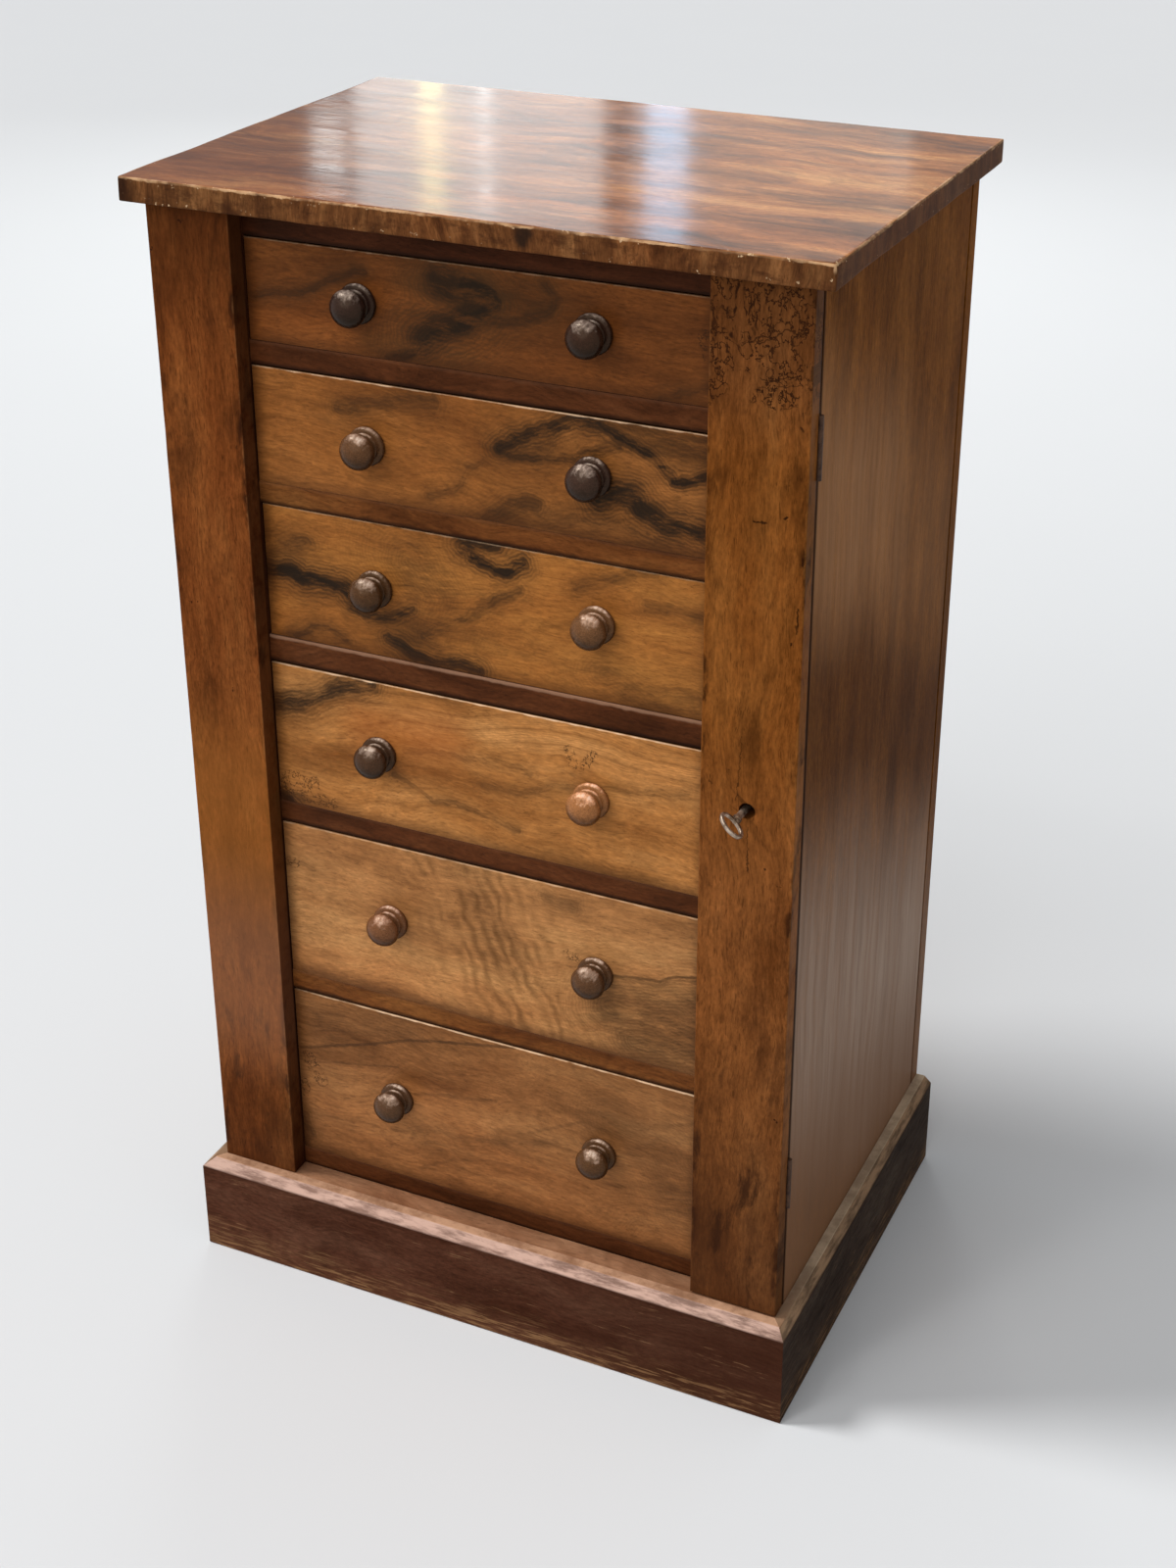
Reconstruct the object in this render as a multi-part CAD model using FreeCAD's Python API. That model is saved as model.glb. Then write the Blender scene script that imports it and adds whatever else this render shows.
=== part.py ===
"""Wellington chest: a tall walnut chest of six graduated drawers between two pilasters.

The right-hand pilaster is hinged at its outer edge and carries the lock.
Millimetres, +Z up, the front faces -Y, +X is to the right of someone facing the front.
The origin is at the bottom centre of the bounding box, key included.
"""
import FreeCAD, Part
import math
import os
from FreeCAD import Vector

# Carcase
body_width = 580.0
body_depth = 413.0
side_thickness = 18.0
side_foot_gap = 6.0
housing_depth = 6.0
worn_edge = 1.0

# Top board
top_thickness = 20.5
top_side_overhang = 18.0
top_front_overhang = 10.5
top_back_overhang = 4.0
top_edge_round = 1.6

# Plinth
plinth_height = 102.0
plinth_bevel_drop = 7.0
plinth_ledge = 8.6
plinth_front_projection = 20.0
plinth_side_projection = 16.0
plinth_arris_round = 1.5
plinth_packing_thickness = 20.0
plinth_back_thickness = 20.0

# Pilasters and the posts behind them
left_pilaster_width = 78.5
right_pilaster_width = 83.0
pilaster_thickness = 20.0
pilaster_back_gap = 1.5
pilaster_end_gap = 1.5
post_thickness = 22.0

# Drawer openings and rails, from the top down
opening_heights = [88.4, 104.5, 124.5, 140.5, 162.5, 185.0]
rail_heights = [20.4, 19.5, 24.5, 21.0, 19.3]
top_rail_height = 24.1
bottom_rail_height = 20.0
bottom_board_thickness = 18.0
rail_depth = 45.0
rail_edge_round = 0.4
tenon_length = 12.0
tenon_side_shoulder = 4.0
tenon_end_shoulder = 3.0
back_rail_depth = 40.0
back_rail_height = 20.0

# Runners, guides and stops
runner_bearing = 12.0
guide_width = 25.0
guide_height = 20.0
stop_width = 30.0
stop_length = 18.0
stop_thickness = 5.0
stop_gap = 0.3
stop_place_share = 0.3

# Framed back
back_thickness = 22.0
back_stile_width = 60.0
back_top_rail_height = 80.0
back_middle_rail_height = 70.0
back_bottom_rail_height = 100.0
back_tenon_length = 12.0
back_panel_thickness = 8.0
back_groove_depth = 8.0
back_groove_room = 1.0
back_rebate_width = 4.5
back_rebate_depth = 5.0

# Glue blocks
glue_block_side = 18.0
glue_block_length = 70.0
glue_block_place_share = 0.3

# Drawers: how far each face stands proud of the rails, from the top down
drawer_proud = [0.3, 1.3, -1.0, 1.5, 1.1, 1.3]
drawer_end_gap = 1.0
drawer_top_gap = 1.4
drawer_bottom_gap = 0.3
drawer_back_room = 11.0
drawer_front_thickness = 20.0
drawer_front_lap = 6.0
drawer_front_round = 0.8
drawer_side_thickness = 10.0
drawer_side_drop = 3.0
drawer_back_thickness = 9.0
drawer_bottom_thickness = 6.0
drawer_bottom_raise = 9.0
drawer_bottom_groove = 5.0
dovetail_pitch = 36.0
dovetail_tail_share = 0.76
dovetail_slope_share = 0.14

# Knobs: two on each drawer, and how far each one was set off its mark, from the top down
knob_spacing = 207.4
knob_left_shift = [-1.5, 1.5, 1.5, -0.5, 3.5, 1.5]
knob_left_rise = [0.5, -3.0, 1.5, 0.5, 2.0, -1.5]
knob_right_shift = [-0.5, -1.0, 1.5, -2.5, 1.0, 4.5]
knob_right_rise = [2.8, 2.8, 7.5, 1.5, 1.0, 0.5]
knob_head_radius = 15.9
knob_head_half = 7.5
knob_rim_radius = 4.2
knob_rim_end_deg = 60.0
knob_seat_radius = 9.0
knob_seat_drop = 5.7
knob_projection = 28.0
knob_flange_radius = 17.0
knob_flange_thickness = 5.4
knob_ring_radius = 12.6
knob_ring_height = 2.2
knob_neck_radius = 7.2
knob_dowel_radius = 5.0
knob_dowel_play = 0.05

# Hinges of the right-hand pilaster
hinge_length = 52.0
hinge_upper_z = 925.6
hinge_lower_z = 239.0
hinge_knuckles = 5
hinge_knuckle_gap = 0.2
hinge_knuckle_radius = 2.6
hinge_knuckle_room = 0.35
hinge_pin_radius = 1.25
hinge_pin_play = 0.05
hinge_axis_outset = 0.6
hinge_leaf_width = 15.5
hinge_leaf_thickness = 1.2
hinge_screw_spread_share = 0.36
hinge_screw_place_share = 0.55

# Screws
screw_head_radius = 2.6
screw_shank_radius = 1.4
screw_length = 13.0
screw_slot_width = 0.6
screw_slot_depth = 0.5

# Lock
key_axis_inset = 45.0
key_axis_z = 612.0
keyhole_radius = 7.2
keyhole_shift_x = 3.4
keyhole_shift_z = 1.4
lock_plate_width = 56.0
lock_plate_height = 42.0
lock_plate_thickness = 1.6
lock_case_left = 17.0
lock_case_right = 19.0
lock_case_above = 10.5
lock_case_below = 20.5
lock_case_depth = 10.0
lock_wall = 1.2
lock_screw_inset = 4.5
recess_room = 2.2
bolt_throw = 7.0
bolt_height = 12.5
bolt_thickness = 4.5
bolt_drop = 5.8
bolt_front_room = 3.4
bolt_tail = 14.0
bolt_nose_inset = 0.2
bolt_running_play = 0.15
talon_width = 11.0
talon_depth = 4.2
stump_radius = 1.5
stump_offset = 2.0
strike_thickness = 1.5
strike_hole_room = 0.6
strike_inset = 0.3
strike_screw_inset = 4.0
strike_screw_spread = 7.0
strike_screw_length = 9.0
bolt_pocket_depth = 6.5

# Key
key_turn_at_rest_deg = 45.0
key_shank_out = 17.0
key_shank_radius = 3.0
key_barrel_depth = 14.0
drill_pin_radius = 1.5
drill_pin_play = 0.08
drill_pin_length = 11.0
key_end_gap = 0.4
key_bit_reach = 9.0
key_bit_thickness = 2.2
key_bit_width = 5.0
key_hole_play = 0.3
key_collar_radius = 4.1
key_collar_length = 2.4
key_collar_setback = 2.4
key_bow_half_width = 13.0
key_bow_length = 18.0
key_bow_wire = 3.4
key_bow_thickness = 3.2
key_bow_round = 1.1
key_bow_overlap = 1.0

# One overrun lets every cut pass clear of the faces that it opens
overrun = 2.0
tolerance = 0.001

# Heights of the openings and rails
opening_tops = []
opening_bottoms = []
rail_spans = []
carcase_height = plinth_height + bottom_rail_height + sum(opening_heights)
carcase_height += sum(rail_heights) + top_rail_height
overall_height = carcase_height + top_thickness
level = carcase_height - top_rail_height
for opening_number, opening_height in enumerate(opening_heights):
    opening_tops.append(level)
    level -= opening_height
    opening_bottoms.append(level)
    if opening_number < len(rail_heights):
        rail_spans.append((level - rail_heights[opening_number], level))
        level -= rail_heights[opening_number]

# Places across the chest
body_half = body_width / 2
inner_half = body_half - side_thickness
opening_left = -body_half + left_pilaster_width
opening_right = body_half - right_pilaster_width
opening_width = opening_right - opening_left
opening_middle = (opening_left + opening_right) / 2
runner_left_edge = opening_left + runner_bearing
runner_right_edge = opening_right - runner_bearing

# Places from front to back
key_reach = key_shank_out + key_bow_length - key_bow_overlap
overall_depth = key_reach + body_depth + top_back_overhang
face_y = key_reach - overall_depth / 2
front_y = face_y + pilaster_thickness
back_y = face_y + body_depth
carcase_back_y = back_y - back_thickness
post_back_y = front_y + post_thickness
rail_back_y = front_y + rail_depth
hinged_back_y = front_y - pilaster_back_gap

# Hinge axis
hinge_x = body_half + hinge_axis_outset
hinge_y = (hinged_back_y + front_y) / 2
hinge_levels = [hinge_lower_z, hinge_upper_z]

# Key axis and the lock's layers
key_x = body_half - key_axis_inset
lock_left_x = key_x - lock_case_left
lock_right_x = key_x + lock_case_right
lock_low_z = key_axis_z - lock_case_below
lock_high_z = key_axis_z + lock_case_above
lock_back_y = hinged_back_y + lock_case_depth
lock_cover_y = lock_back_y - lock_wall
bolt_front_y = hinged_back_y + bolt_front_room
bolt_back_y = bolt_front_y + bolt_thickness
bolt_high_z = key_axis_z - bolt_drop
bolt_low_z = bolt_high_z - bolt_height
stump_z = (bolt_low_z + bolt_high_z - talon_depth) / 2
recess_left_x = lock_left_x - recess_room
recess_back_y = lock_back_y + recess_room
recess_low_z = lock_low_z - recess_room
recess_high_z = lock_high_z + recess_room
key_origin = Vector(key_x, face_y, key_axis_z)

# Directions
upward = Vector(0, 0, 1)
inward = Vector(0, 1, 0)
outward = Vector(0, -1, 0)
leftward = Vector(-1, 0, 0)


def block(x0, x1, y0, y1, z0, z1):
    """A rectangular piece between two limits on each axis."""
    return Part.makeBox(x1 - x0, y1 - y0, z1 - z0, Vector(x0, y0, z0))


def rod(x, y, z, direction, radius, length):
    """A round bar from one point along a direction."""
    return Part.makeCylinder(radius, length, Vector(x, y, z), direction)


def prism(points, sweep):
    """A flat outline pushed along a vector."""
    return Part.Face(Part.makePolygon(points + points[:1])).extrude(sweep)


def on_plane(edge, axis, value):
    """Whether an edge lies wholly in the plane where one axis has a value."""
    low = getattr(edge.BoundBox, axis + "Min")
    high = getattr(edge.BoundBox, axis + "Max")
    return abs(low - value) < tolerance and abs(high - value) < tolerance


def ease(shape, radius, planes):
    """Round the edges that lie in any of the given planes."""
    edges = [edge for edge in shape.Edges if any(on_plane(edge, axis, value) for axis, value in planes)]
    return shape.makeFillet(radius, edges)


def save(name, pieces):
    """Write one node: a single piece or a group of separate solids."""
    shape = pieces if isinstance(pieces, Part.Shape) else Part.makeCompound(pieces)
    shape.exportStep("parts/" + name + ".step")


def screw_outline(length):
    """A countersunk wood screw pointing up, its head flush with the origin."""
    head_height = screw_head_radius - screw_shank_radius
    head = Part.makeCone(screw_head_radius, screw_shank_radius, head_height)
    return head.fuse(Part.makeCylinder(screw_shank_radius, length))


def placed(shape, x, y, z, direction):
    """Move a piece that points up to a point and turn it along a direction."""
    shape.Placement = FreeCAD.Placement(Vector(x, y, z), FreeCAD.Rotation(upward, direction))
    return shape


def screw(x, y, z, direction, length):
    """A slotted countersunk wood screw, its head flush with the given point."""
    slot = block(-screw_head_radius - overrun, screw_head_radius + overrun, -screw_slot_width / 2,
                 screw_slot_width / 2, -overrun, screw_slot_depth)
    return placed(screw_outline(length).cut(slot), x, y, z, direction)


def screw_hole(x, y, z, direction, length):
    """The countersunk hole that a screw fills."""
    return placed(screw_outline(length), x, y, z, direction)


def make_top_board():
    """The overhanging top, its edges worn round."""
    board = block(-body_half - top_side_overhang, body_half + top_side_overhang,
                  face_y - top_front_overhang, back_y + top_back_overhang, carcase_height, overall_height)
    corners = [edge for edge in board.Edges if edge.BoundBox.ZLength > top_thickness - tolerance]
    board = board.makeFillet(top_edge_round, corners)
    return ease(board, worn_edge, [("Z", overall_height), ("Z", carcase_height)])


def rail_tenon(x0, x1, z0, z1):
    """The stub tenon at a rail's end, which is also the shape of its mortise."""
    return block(x0, x1, front_y + tenon_side_shoulder, post_back_y - tenon_side_shoulder,
                 z0 + tenon_end_shoulder, z1 - tenon_end_shoulder)


def rail_tenons(z0, z1):
    """Both tenons of one rail."""
    return [rail_tenon(opening_left - tenon_length, opening_left, z0, z1),
            rail_tenon(opening_right, opening_right + tenon_length, z0, z1)]


def make_rail(z0, z1):
    """A rail between the two posts, with its worn front arrises."""
    rail = block(opening_left, opening_right, front_y, rail_back_y, z0, z1)
    rail = ease(rail, rail_edge_round, [("Z", z0), ("Z", z1)])
    return rail.multiFuse(rail_tenons(z0, z1)).removeSplitter()


def all_rail_spans():
    """Heights of every rail that is tenoned into the posts."""
    top_span = (carcase_height - top_rail_height, carcase_height)
    bottom_span = (plinth_height, plinth_height + bottom_rail_height)
    return [top_span] + rail_spans + [bottom_span]


def runner_levels():
    """Heights of the runners: one pair beside each rail but the lowest."""
    return all_rail_spans()[:-1]


def make_runners():
    """Runners under and over the drawers, notched round the rails' ends."""
    runners = []
    for z0, z1 in runner_levels():
        rail_room = block(opening_left, opening_right, front_y, rail_back_y, z0, z1)
        left = block(-inner_half - housing_depth, runner_left_edge, post_back_y, carcase_back_y, z0, z1)
        right = block(runner_right_edge, inner_half + housing_depth, post_back_y, carcase_back_y, z0, z1)
        runners += [left.cut(rail_room), right.cut(rail_room)]
    return runners


def make_guides():
    """Strips on the runners that keep each drawer straight."""
    guides = []
    for z0 in opening_bottoms:
        start_y = rail_back_y if z0 == opening_bottoms[-1] else post_back_y
        guides.append(block(opening_left - guide_width, opening_left, start_y, carcase_back_y,
                            z0, z0 + guide_height))
        guides.append(block(opening_right, opening_right + guide_width, start_y, carcase_back_y,
                            z0, z0 + guide_height))
    return guides


def make_stops():
    """Two small blocks on each rail that stop the back of the drawer's front."""
    stops = []
    for number, z0 in enumerate(opening_bottoms):
        y0 = drawer_face_y(number) + drawer_front_thickness + stop_gap
        for side in (-1, 1):
            middle = opening_middle + side * stop_place_share * opening_width
            stops.append(block(middle - stop_width / 2, middle + stop_width / 2, y0, y0 + stop_length,
                               z0, z0 + stop_thickness))
    return stops


def housing_tools(side):
    """The housings that runners and bottom board fill in one side panel."""
    outer = side * (inner_half + housing_depth)
    inner = side * (inner_half - overrun)
    x0, x1 = min(outer, inner), max(outer, inner)
    tools = [block(x0, x1, post_back_y, carcase_back_y, z0, z1) for z0, z1 in runner_levels()]
    board_top = plinth_height + bottom_rail_height
    tools.append(block(x0, x1, rail_back_y, carcase_back_y, board_top - bottom_board_thickness, board_top))
    return tools


def make_side(side):
    """One solid side panel, standing just clear of the floor behind the plinth."""
    x0, x1 = sorted((side * inner_half, side * body_half))
    panel = block(x0, x1, front_y, carcase_back_y, side_foot_gap, carcase_height)
    panel = panel.cut(housing_tools(side))
    if side > 0:
        panel = panel.cut(hinge_rooms() + fixed_leaf_rooms() + fixed_hinge_screw_holes())
    return panel


def make_bottom_board():
    """The board under the lowest drawer, housed in both sides."""
    top = plinth_height + bottom_rail_height
    return block(-inner_half - housing_depth, inner_half + housing_depth, rail_back_y, carcase_back_y,
                 top - bottom_board_thickness, top)


def make_left_post():
    """The fixed post left of the drawers, mortised for the rails."""
    post = block(-inner_half, opening_left, front_y, post_back_y, side_foot_gap, carcase_height)
    return post.cut([rail_tenons(z0, z1)[0] for z0, z1 in all_rail_spans()])


def make_right_post():
    """The built-up post right of the drawers: a mortised stile, and packing round the lock's recess."""
    stile = block(opening_right, recess_left_x, front_y, post_back_y, side_foot_gap, carcase_height)
    stile = stile.cut([rail_tenons(z0, z1)[1] for z0, z1 in all_rail_spans()])
    stile = stile.cut([bolt_passage(bolt_pocket_depth), strike_room()] + strike_screw_holes())
    lower = block(recess_left_x, inner_half, front_y, post_back_y, side_foot_gap, recess_low_z)
    upper = block(recess_left_x, inner_half, front_y, post_back_y, recess_high_z, carcase_height)
    backing = block(recess_left_x, inner_half, recess_back_y, post_back_y, recess_low_z, recess_high_z)
    return [stile, lower, upper, backing]


def ease_front_arrises(board):
    """Wear the two long arrises of a pilaster's face."""
    arrises = [edge for edge in board.Edges
               if on_plane(edge, "Y", face_y) and edge.BoundBox.XLength < tolerance]
    return board.makeFillet(worn_edge, arrises)


def make_left_pilaster():
    """The fixed pilaster, glued over the left post and the side's edge."""
    board = block(-body_half, opening_left, face_y, front_y, plinth_height, carcase_height)
    return ease_front_arrises(board)


def make_right_pilaster():
    """The hinged pilaster, let in for its hinge leaves and lock."""
    board = block(opening_right, body_half, face_y, hinged_back_y, plinth_height + pilaster_end_gap,
                  carcase_height - pilaster_end_gap)
    board = ease_front_arrises(board)
    keyhole = rod(key_x + keyhole_shift_x, face_y - overrun, key_axis_z + keyhole_shift_z, inward,
                  keyhole_radius, pilaster_thickness + overrun)
    tools = hinge_rooms() + moving_leaf_rooms() + moving_hinge_screw_holes()
    tools += [keyhole, lock_plate_block(overrun)] + lock_screw_holes()
    return board.cut(tools)


def plinth_profile(projection, away, base):
    """The plinth board's section: a flat ledge, a bevel and an upright face."""
    def at(distance, z):
        return base + away * distance + upward * z
    return [at(0, 0), at(projection, 0), at(projection, plinth_height - plinth_bevel_drop),
            at(plinth_ledge, plinth_height), at(0, plinth_height)]


def round_plinth_arris(board, axis, value):
    """Wear the upper and lower arris of a plinth board's upright face."""
    level_edges = [edge for edge in board.Edges
                   if on_plane(edge, axis, value) and edge.BoundBox.ZLength < tolerance]
    return board.makeFillet(plinth_arris_round, level_edges)


def corner_cutter(side):
    """The part of a front plinth corner that belongs to the front board."""
    outer_x = side * (body_half + plinth_side_projection)
    outer_y = face_y - plinth_front_projection
    slope_x = side * plinth_side_projection
    slope_y = -plinth_front_projection
    return [Vector(side * body_half - slope_x, face_y - slope_y, -overrun),
            Vector(outer_x + slope_x, outer_y + slope_y, -overrun),
            Vector(-side * overrun, outer_y + slope_y, -overrun),
            Vector(-side * overrun, face_y - slope_y, -overrun)]


def make_plinth_front():
    """The front plinth board, mitred at both ends."""
    base = Vector(-body_half - plinth_side_projection, face_y, 0)
    width = body_width + 2 * plinth_side_projection
    board = prism(plinth_profile(plinth_front_projection, outward, base), Vector(width, 0, 0))
    sweep = Vector(0, 0, plinth_height + 2 * overrun)
    keep = prism(corner_cutter(-1), sweep).fuse(prism(corner_cutter(1), sweep))
    board = board.common(keep).removeSplitter()
    return round_plinth_arris(board, "Y", face_y - plinth_front_projection)


def make_plinth_side(side):
    """A side plinth board, mitred to the front one."""
    base = Vector(side * body_half, face_y - plinth_front_projection, 0)
    length = body_depth + plinth_front_projection
    board = prism(plinth_profile(plinth_side_projection, Vector(side, 0, 0), base), Vector(0, length, 0))
    sweep = Vector(0, 0, plinth_height + 2 * overrun)
    board = board.cut(prism(corner_cutter(side), sweep))
    return round_plinth_arris(board, "X", side * (body_half + plinth_side_projection))


def make_plinth_framing():
    """The packing under the pilasters and the bearer across the back."""
    packing = block(-body_half, body_half, face_y, face_y + plinth_packing_thickness,
                    side_foot_gap, plinth_height)
    board_bottom = plinth_height + bottom_rail_height - bottom_board_thickness
    bearer = block(-inner_half, inner_half, carcase_back_y - plinth_back_thickness, carcase_back_y,
                   side_foot_gap, board_bottom)
    return [packing, bearer]


def make_top_back_rail():
    """The rail under the back of the top, between the uppermost runners."""
    return block(runner_left_edge, runner_right_edge, carcase_back_y - back_rail_depth, carcase_back_y,
                 carcase_height - back_rail_height, carcase_height)


def make_glue_blocks():
    """Blocks rubbed into the plinth's corners and under the top."""
    blocks = []
    board_bottom = plinth_height + bottom_rail_height - bottom_board_thickness
    bearer_y = carcase_back_y - plinth_back_thickness
    for side in (-1, 1):
        x0, x1 = sorted((side * inner_half, side * (inner_half - glue_block_side)))
        blocks.append(block(x0, x1, post_back_y, post_back_y + glue_block_side,
                            board_bottom - glue_block_length, board_bottom))
        blocks.append(block(x0, x1, bearer_y - glue_block_side, bearer_y,
                            board_bottom - glue_block_length, board_bottom))
    for place in (-1, 0, 1):
        middle = opening_middle + place * glue_block_place_share * opening_width
        x0, x1 = middle - glue_block_length / 2, middle + glue_block_length / 2
        z0 = carcase_height - glue_block_side
        blocks.append(block(x0, x1, rail_back_y, rail_back_y + glue_block_side, z0, carcase_height))
        rail_y = carcase_back_y - back_rail_depth
        blocks.append(block(x0, x1, rail_y - glue_block_side, rail_y, z0, carcase_height))
    return blocks


def back_rail_spans():
    """Heights of the back frame's three rails."""
    low = side_foot_gap + back_bottom_rail_height
    high = carcase_height - back_top_rail_height
    middle = (low + high) / 2
    return [(side_foot_gap, low),
            (middle - back_middle_rail_height / 2, middle + back_middle_rail_height / 2),
            (high, carcase_height)]


def make_back():
    """The framed back: two rebated stiles, three rails and two panels in grooves."""
    middle_y = (carcase_back_y + back_y) / 2
    y0, y1 = middle_y - back_panel_thickness / 2, middle_y + back_panel_thickness / 2
    stile_edge = body_half - back_stile_width
    spans = back_rail_spans()
    panels = []
    rooms = []
    for (_, low), (high, _) in zip(spans[:-1], spans[1:]):
        reach = back_groove_depth - back_groove_room
        panels.append(block(-stile_edge - reach, stile_edge + reach, y0, y1, low - reach, high + reach))
        rooms.append(block(-stile_edge - back_groove_depth, stile_edge + back_groove_depth, y0, y1,
                           low - back_groove_depth, high + back_groove_depth))
    tenon_edge = stile_edge + back_tenon_length
    tenon_rooms = [block(-tenon_edge, tenon_edge, y0, y1, z0 + back_groove_depth, z1 - back_groove_depth)
                   for z0, z1 in spans]
    frame = []
    for side in (-1, 1):
        x0, x1 = sorted((side * stile_edge, side * body_half))
        stile = block(x0, x1, carcase_back_y, back_y, side_foot_gap, carcase_height)
        rebate_x0, rebate_x1 = sorted((side * (body_half - back_rebate_depth), side * (body_half + overrun)))
        rebate = block(rebate_x0, rebate_x1, carcase_back_y - overrun, carcase_back_y + back_rebate_width,
                       plinth_height, carcase_height)
        frame.append(stile.cut(rooms + tenon_rooms + [rebate]))
    for (z0, z1), tenon in zip(spans, tenon_rooms):
        rail = block(-stile_edge, stile_edge, carcase_back_y, back_y, z0, z1)
        frame.append(rail.fuse(tenon).removeSplitter().cut(rooms))
    return frame, panels


def drawer_face_y(number):
    """Where a drawer's face stands."""
    return front_y - drawer_proud[number]


def drawer_span(number):
    """Bottom and top of a drawer's front."""
    return opening_bottoms[number] + drawer_bottom_gap, opening_tops[number] - drawer_top_gap


def knob_places(number):
    """Where the two knobs of a drawer sit on its face."""
    middle_z = sum(drawer_span(number)) / 2
    return [(-knob_spacing / 2 + knob_left_shift[number], middle_z + knob_left_rise[number]),
            (knob_spacing / 2 + knob_right_shift[number], middle_z + knob_right_rise[number])]


def tails(x0, x1, root_y, end_y, z0, z1):
    """Dovetails that widen from the shoulder to their ends, spaced evenly up a side."""
    count = max(2, round((z1 - z0) / dovetail_pitch))
    pitch = (z1 - z0) / count
    wide = dovetail_tail_share * pitch / 2
    narrow = wide - abs(end_y - root_y) * dovetail_slope_share
    shapes = []
    for index in range(count):
        middle = z0 + pitch * (index + 0.5)
        outline = [Vector(x0, root_y, middle - narrow), Vector(x0, end_y, middle - wide),
                   Vector(x0, end_y, middle + wide), Vector(x0, root_y, middle + narrow)]
        shapes.append(prism(outline, Vector(x1 - x0, 0, 0)))
    return shapes


def make_drawer(number):
    """One drawer: front, dovetailed box, bottom and two turned knobs."""
    x0, x1 = opening_left + drawer_end_gap, opening_right - drawer_end_gap
    z0, z1 = drawer_span(number)
    y0 = drawer_face_y(number)
    inside_y = y0 + drawer_front_thickness
    end_y = carcase_back_y - drawer_back_room
    back_inside_y = end_y - drawer_back_thickness
    side_top = z1 - drawer_side_drop
    panel_z0 = z0 + drawer_bottom_raise
    panel_z1 = panel_z0 + drawer_bottom_thickness
    inner_x0, inner_x1 = x0 + drawer_side_thickness, x1 - drawer_side_thickness

    groove_x0, groove_x1 = inner_x0 - drawer_bottom_groove, inner_x1 + drawer_bottom_groove
    bottom = block(groove_x0, groove_x1, inside_y, end_y, panel_z0, panel_z1)
    tongue = block(inner_x0, inner_x1, inside_y - drawer_bottom_groove, inside_y, panel_z0, panel_z1)
    bottom = bottom.fuse(tongue).removeSplitter()

    sides = []
    front_tails = []
    back_tails = []
    for side_x0, side_x1 in ((x0, inner_x0), (inner_x1, x1)):
        plate = block(side_x0, side_x1, inside_y, back_inside_y, z0, side_top)
        front_set = tails(side_x0, side_x1, inside_y, y0 + drawer_front_lap, z0, side_top)
        back_set = tails(side_x0, side_x1, back_inside_y, end_y, z0, side_top)
        plate = plate.multiFuse(front_set + back_set).removeSplitter()
        sides.append(plate.cut(bottom))
        front_tails += front_set
        back_tails += back_set

    front = block(x0, x1, y0, inside_y, z0, z1)
    front = ease(front, drawer_front_round, [("Y", y0)])
    dowels = [rod(x, y0 - overrun, z, inward, knob_dowel_radius + knob_dowel_play,
                  drawer_front_thickness + 2 * overrun) for x, z in knob_places(number)]
    front = front.cut(front_tails + [tongue] + dowels)

    back = block(x0, x1, back_inside_y, end_y, panel_z1, side_top)
    back = back.cut(back_tails)
    knobs = [make_knob(x, y0, z) for x, z in knob_places(number)]
    return front, sides + [back], bottom, knobs


def make_knob(x, y, z):
    """A turned knob with a rounded flange, a ring, a cove neck and a domed head."""
    def at(radius, distance):
        return Vector(radius, -distance, 0)
    rim = knob_flange_thickness / 2
    ring_top = knob_flange_thickness + knob_ring_height
    head_centre = knob_projection - knob_head_half
    seat_distance = head_centre - knob_seat_drop
    rim_centre = knob_head_radius - knob_rim_radius
    dome_radius = rim_centre ** 2 + knob_head_half ** 2 - knob_rim_radius ** 2
    dome_radius /= 2 * (knob_head_half - knob_rim_radius)
    dome_centre = knob_projection - dome_radius
    reach = dome_radius / (dome_radius - knob_rim_radius)
    shoulder = at(rim_centre * reach, dome_centre + (dome_radius - knob_head_half) * reach)
    half_angle = math.asin(shoulder.x / dome_radius) / 2
    dome_middle = at(dome_radius * math.sin(half_angle), dome_centre + dome_radius * math.cos(half_angle))
    end_angle = math.radians(knob_rim_end_deg)
    rim_end = at(rim_centre + knob_rim_radius * math.cos(end_angle),
                 head_centre - knob_rim_radius * math.sin(end_angle))
    neck_middle = at(knob_neck_radius, (ring_top + seat_distance) / 2)
    edges = [
        Part.LineSegment(at(0, -drawer_front_thickness), at(knob_dowel_radius, -drawer_front_thickness)),
        Part.LineSegment(at(knob_dowel_radius, -drawer_front_thickness), at(knob_dowel_radius, 0)),
        Part.LineSegment(at(knob_dowel_radius, 0), at(knob_flange_radius - rim, 0)),
        Part.Arc(at(knob_flange_radius - rim, 0), at(knob_flange_radius, rim),
                 at(knob_flange_radius - rim, knob_flange_thickness)),
        Part.LineSegment(at(knob_flange_radius - rim, knob_flange_thickness),
                         at(knob_ring_radius, knob_flange_thickness)),
        Part.LineSegment(at(knob_ring_radius, knob_flange_thickness), at(knob_ring_radius, ring_top)),
        Part.Arc(at(knob_ring_radius, ring_top), neck_middle, at(knob_seat_radius, seat_distance)),
        Part.LineSegment(at(knob_seat_radius, seat_distance), rim_end),
        Part.Arc(rim_end, at(knob_head_radius, head_centre), shoulder),
        Part.Arc(shoulder, dome_middle, at(0, knob_projection)),
        Part.LineSegment(at(0, knob_projection), at(0, -drawer_front_thickness)),
    ]
    outline = Part.Wire([edge.toShape() for edge in edges])
    knob = Part.Face(outline).revolve(Vector(0, 0, 0), Vector(0, 1, 0), 360)
    knob.translate(Vector(x, y, z))
    return knob


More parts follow.
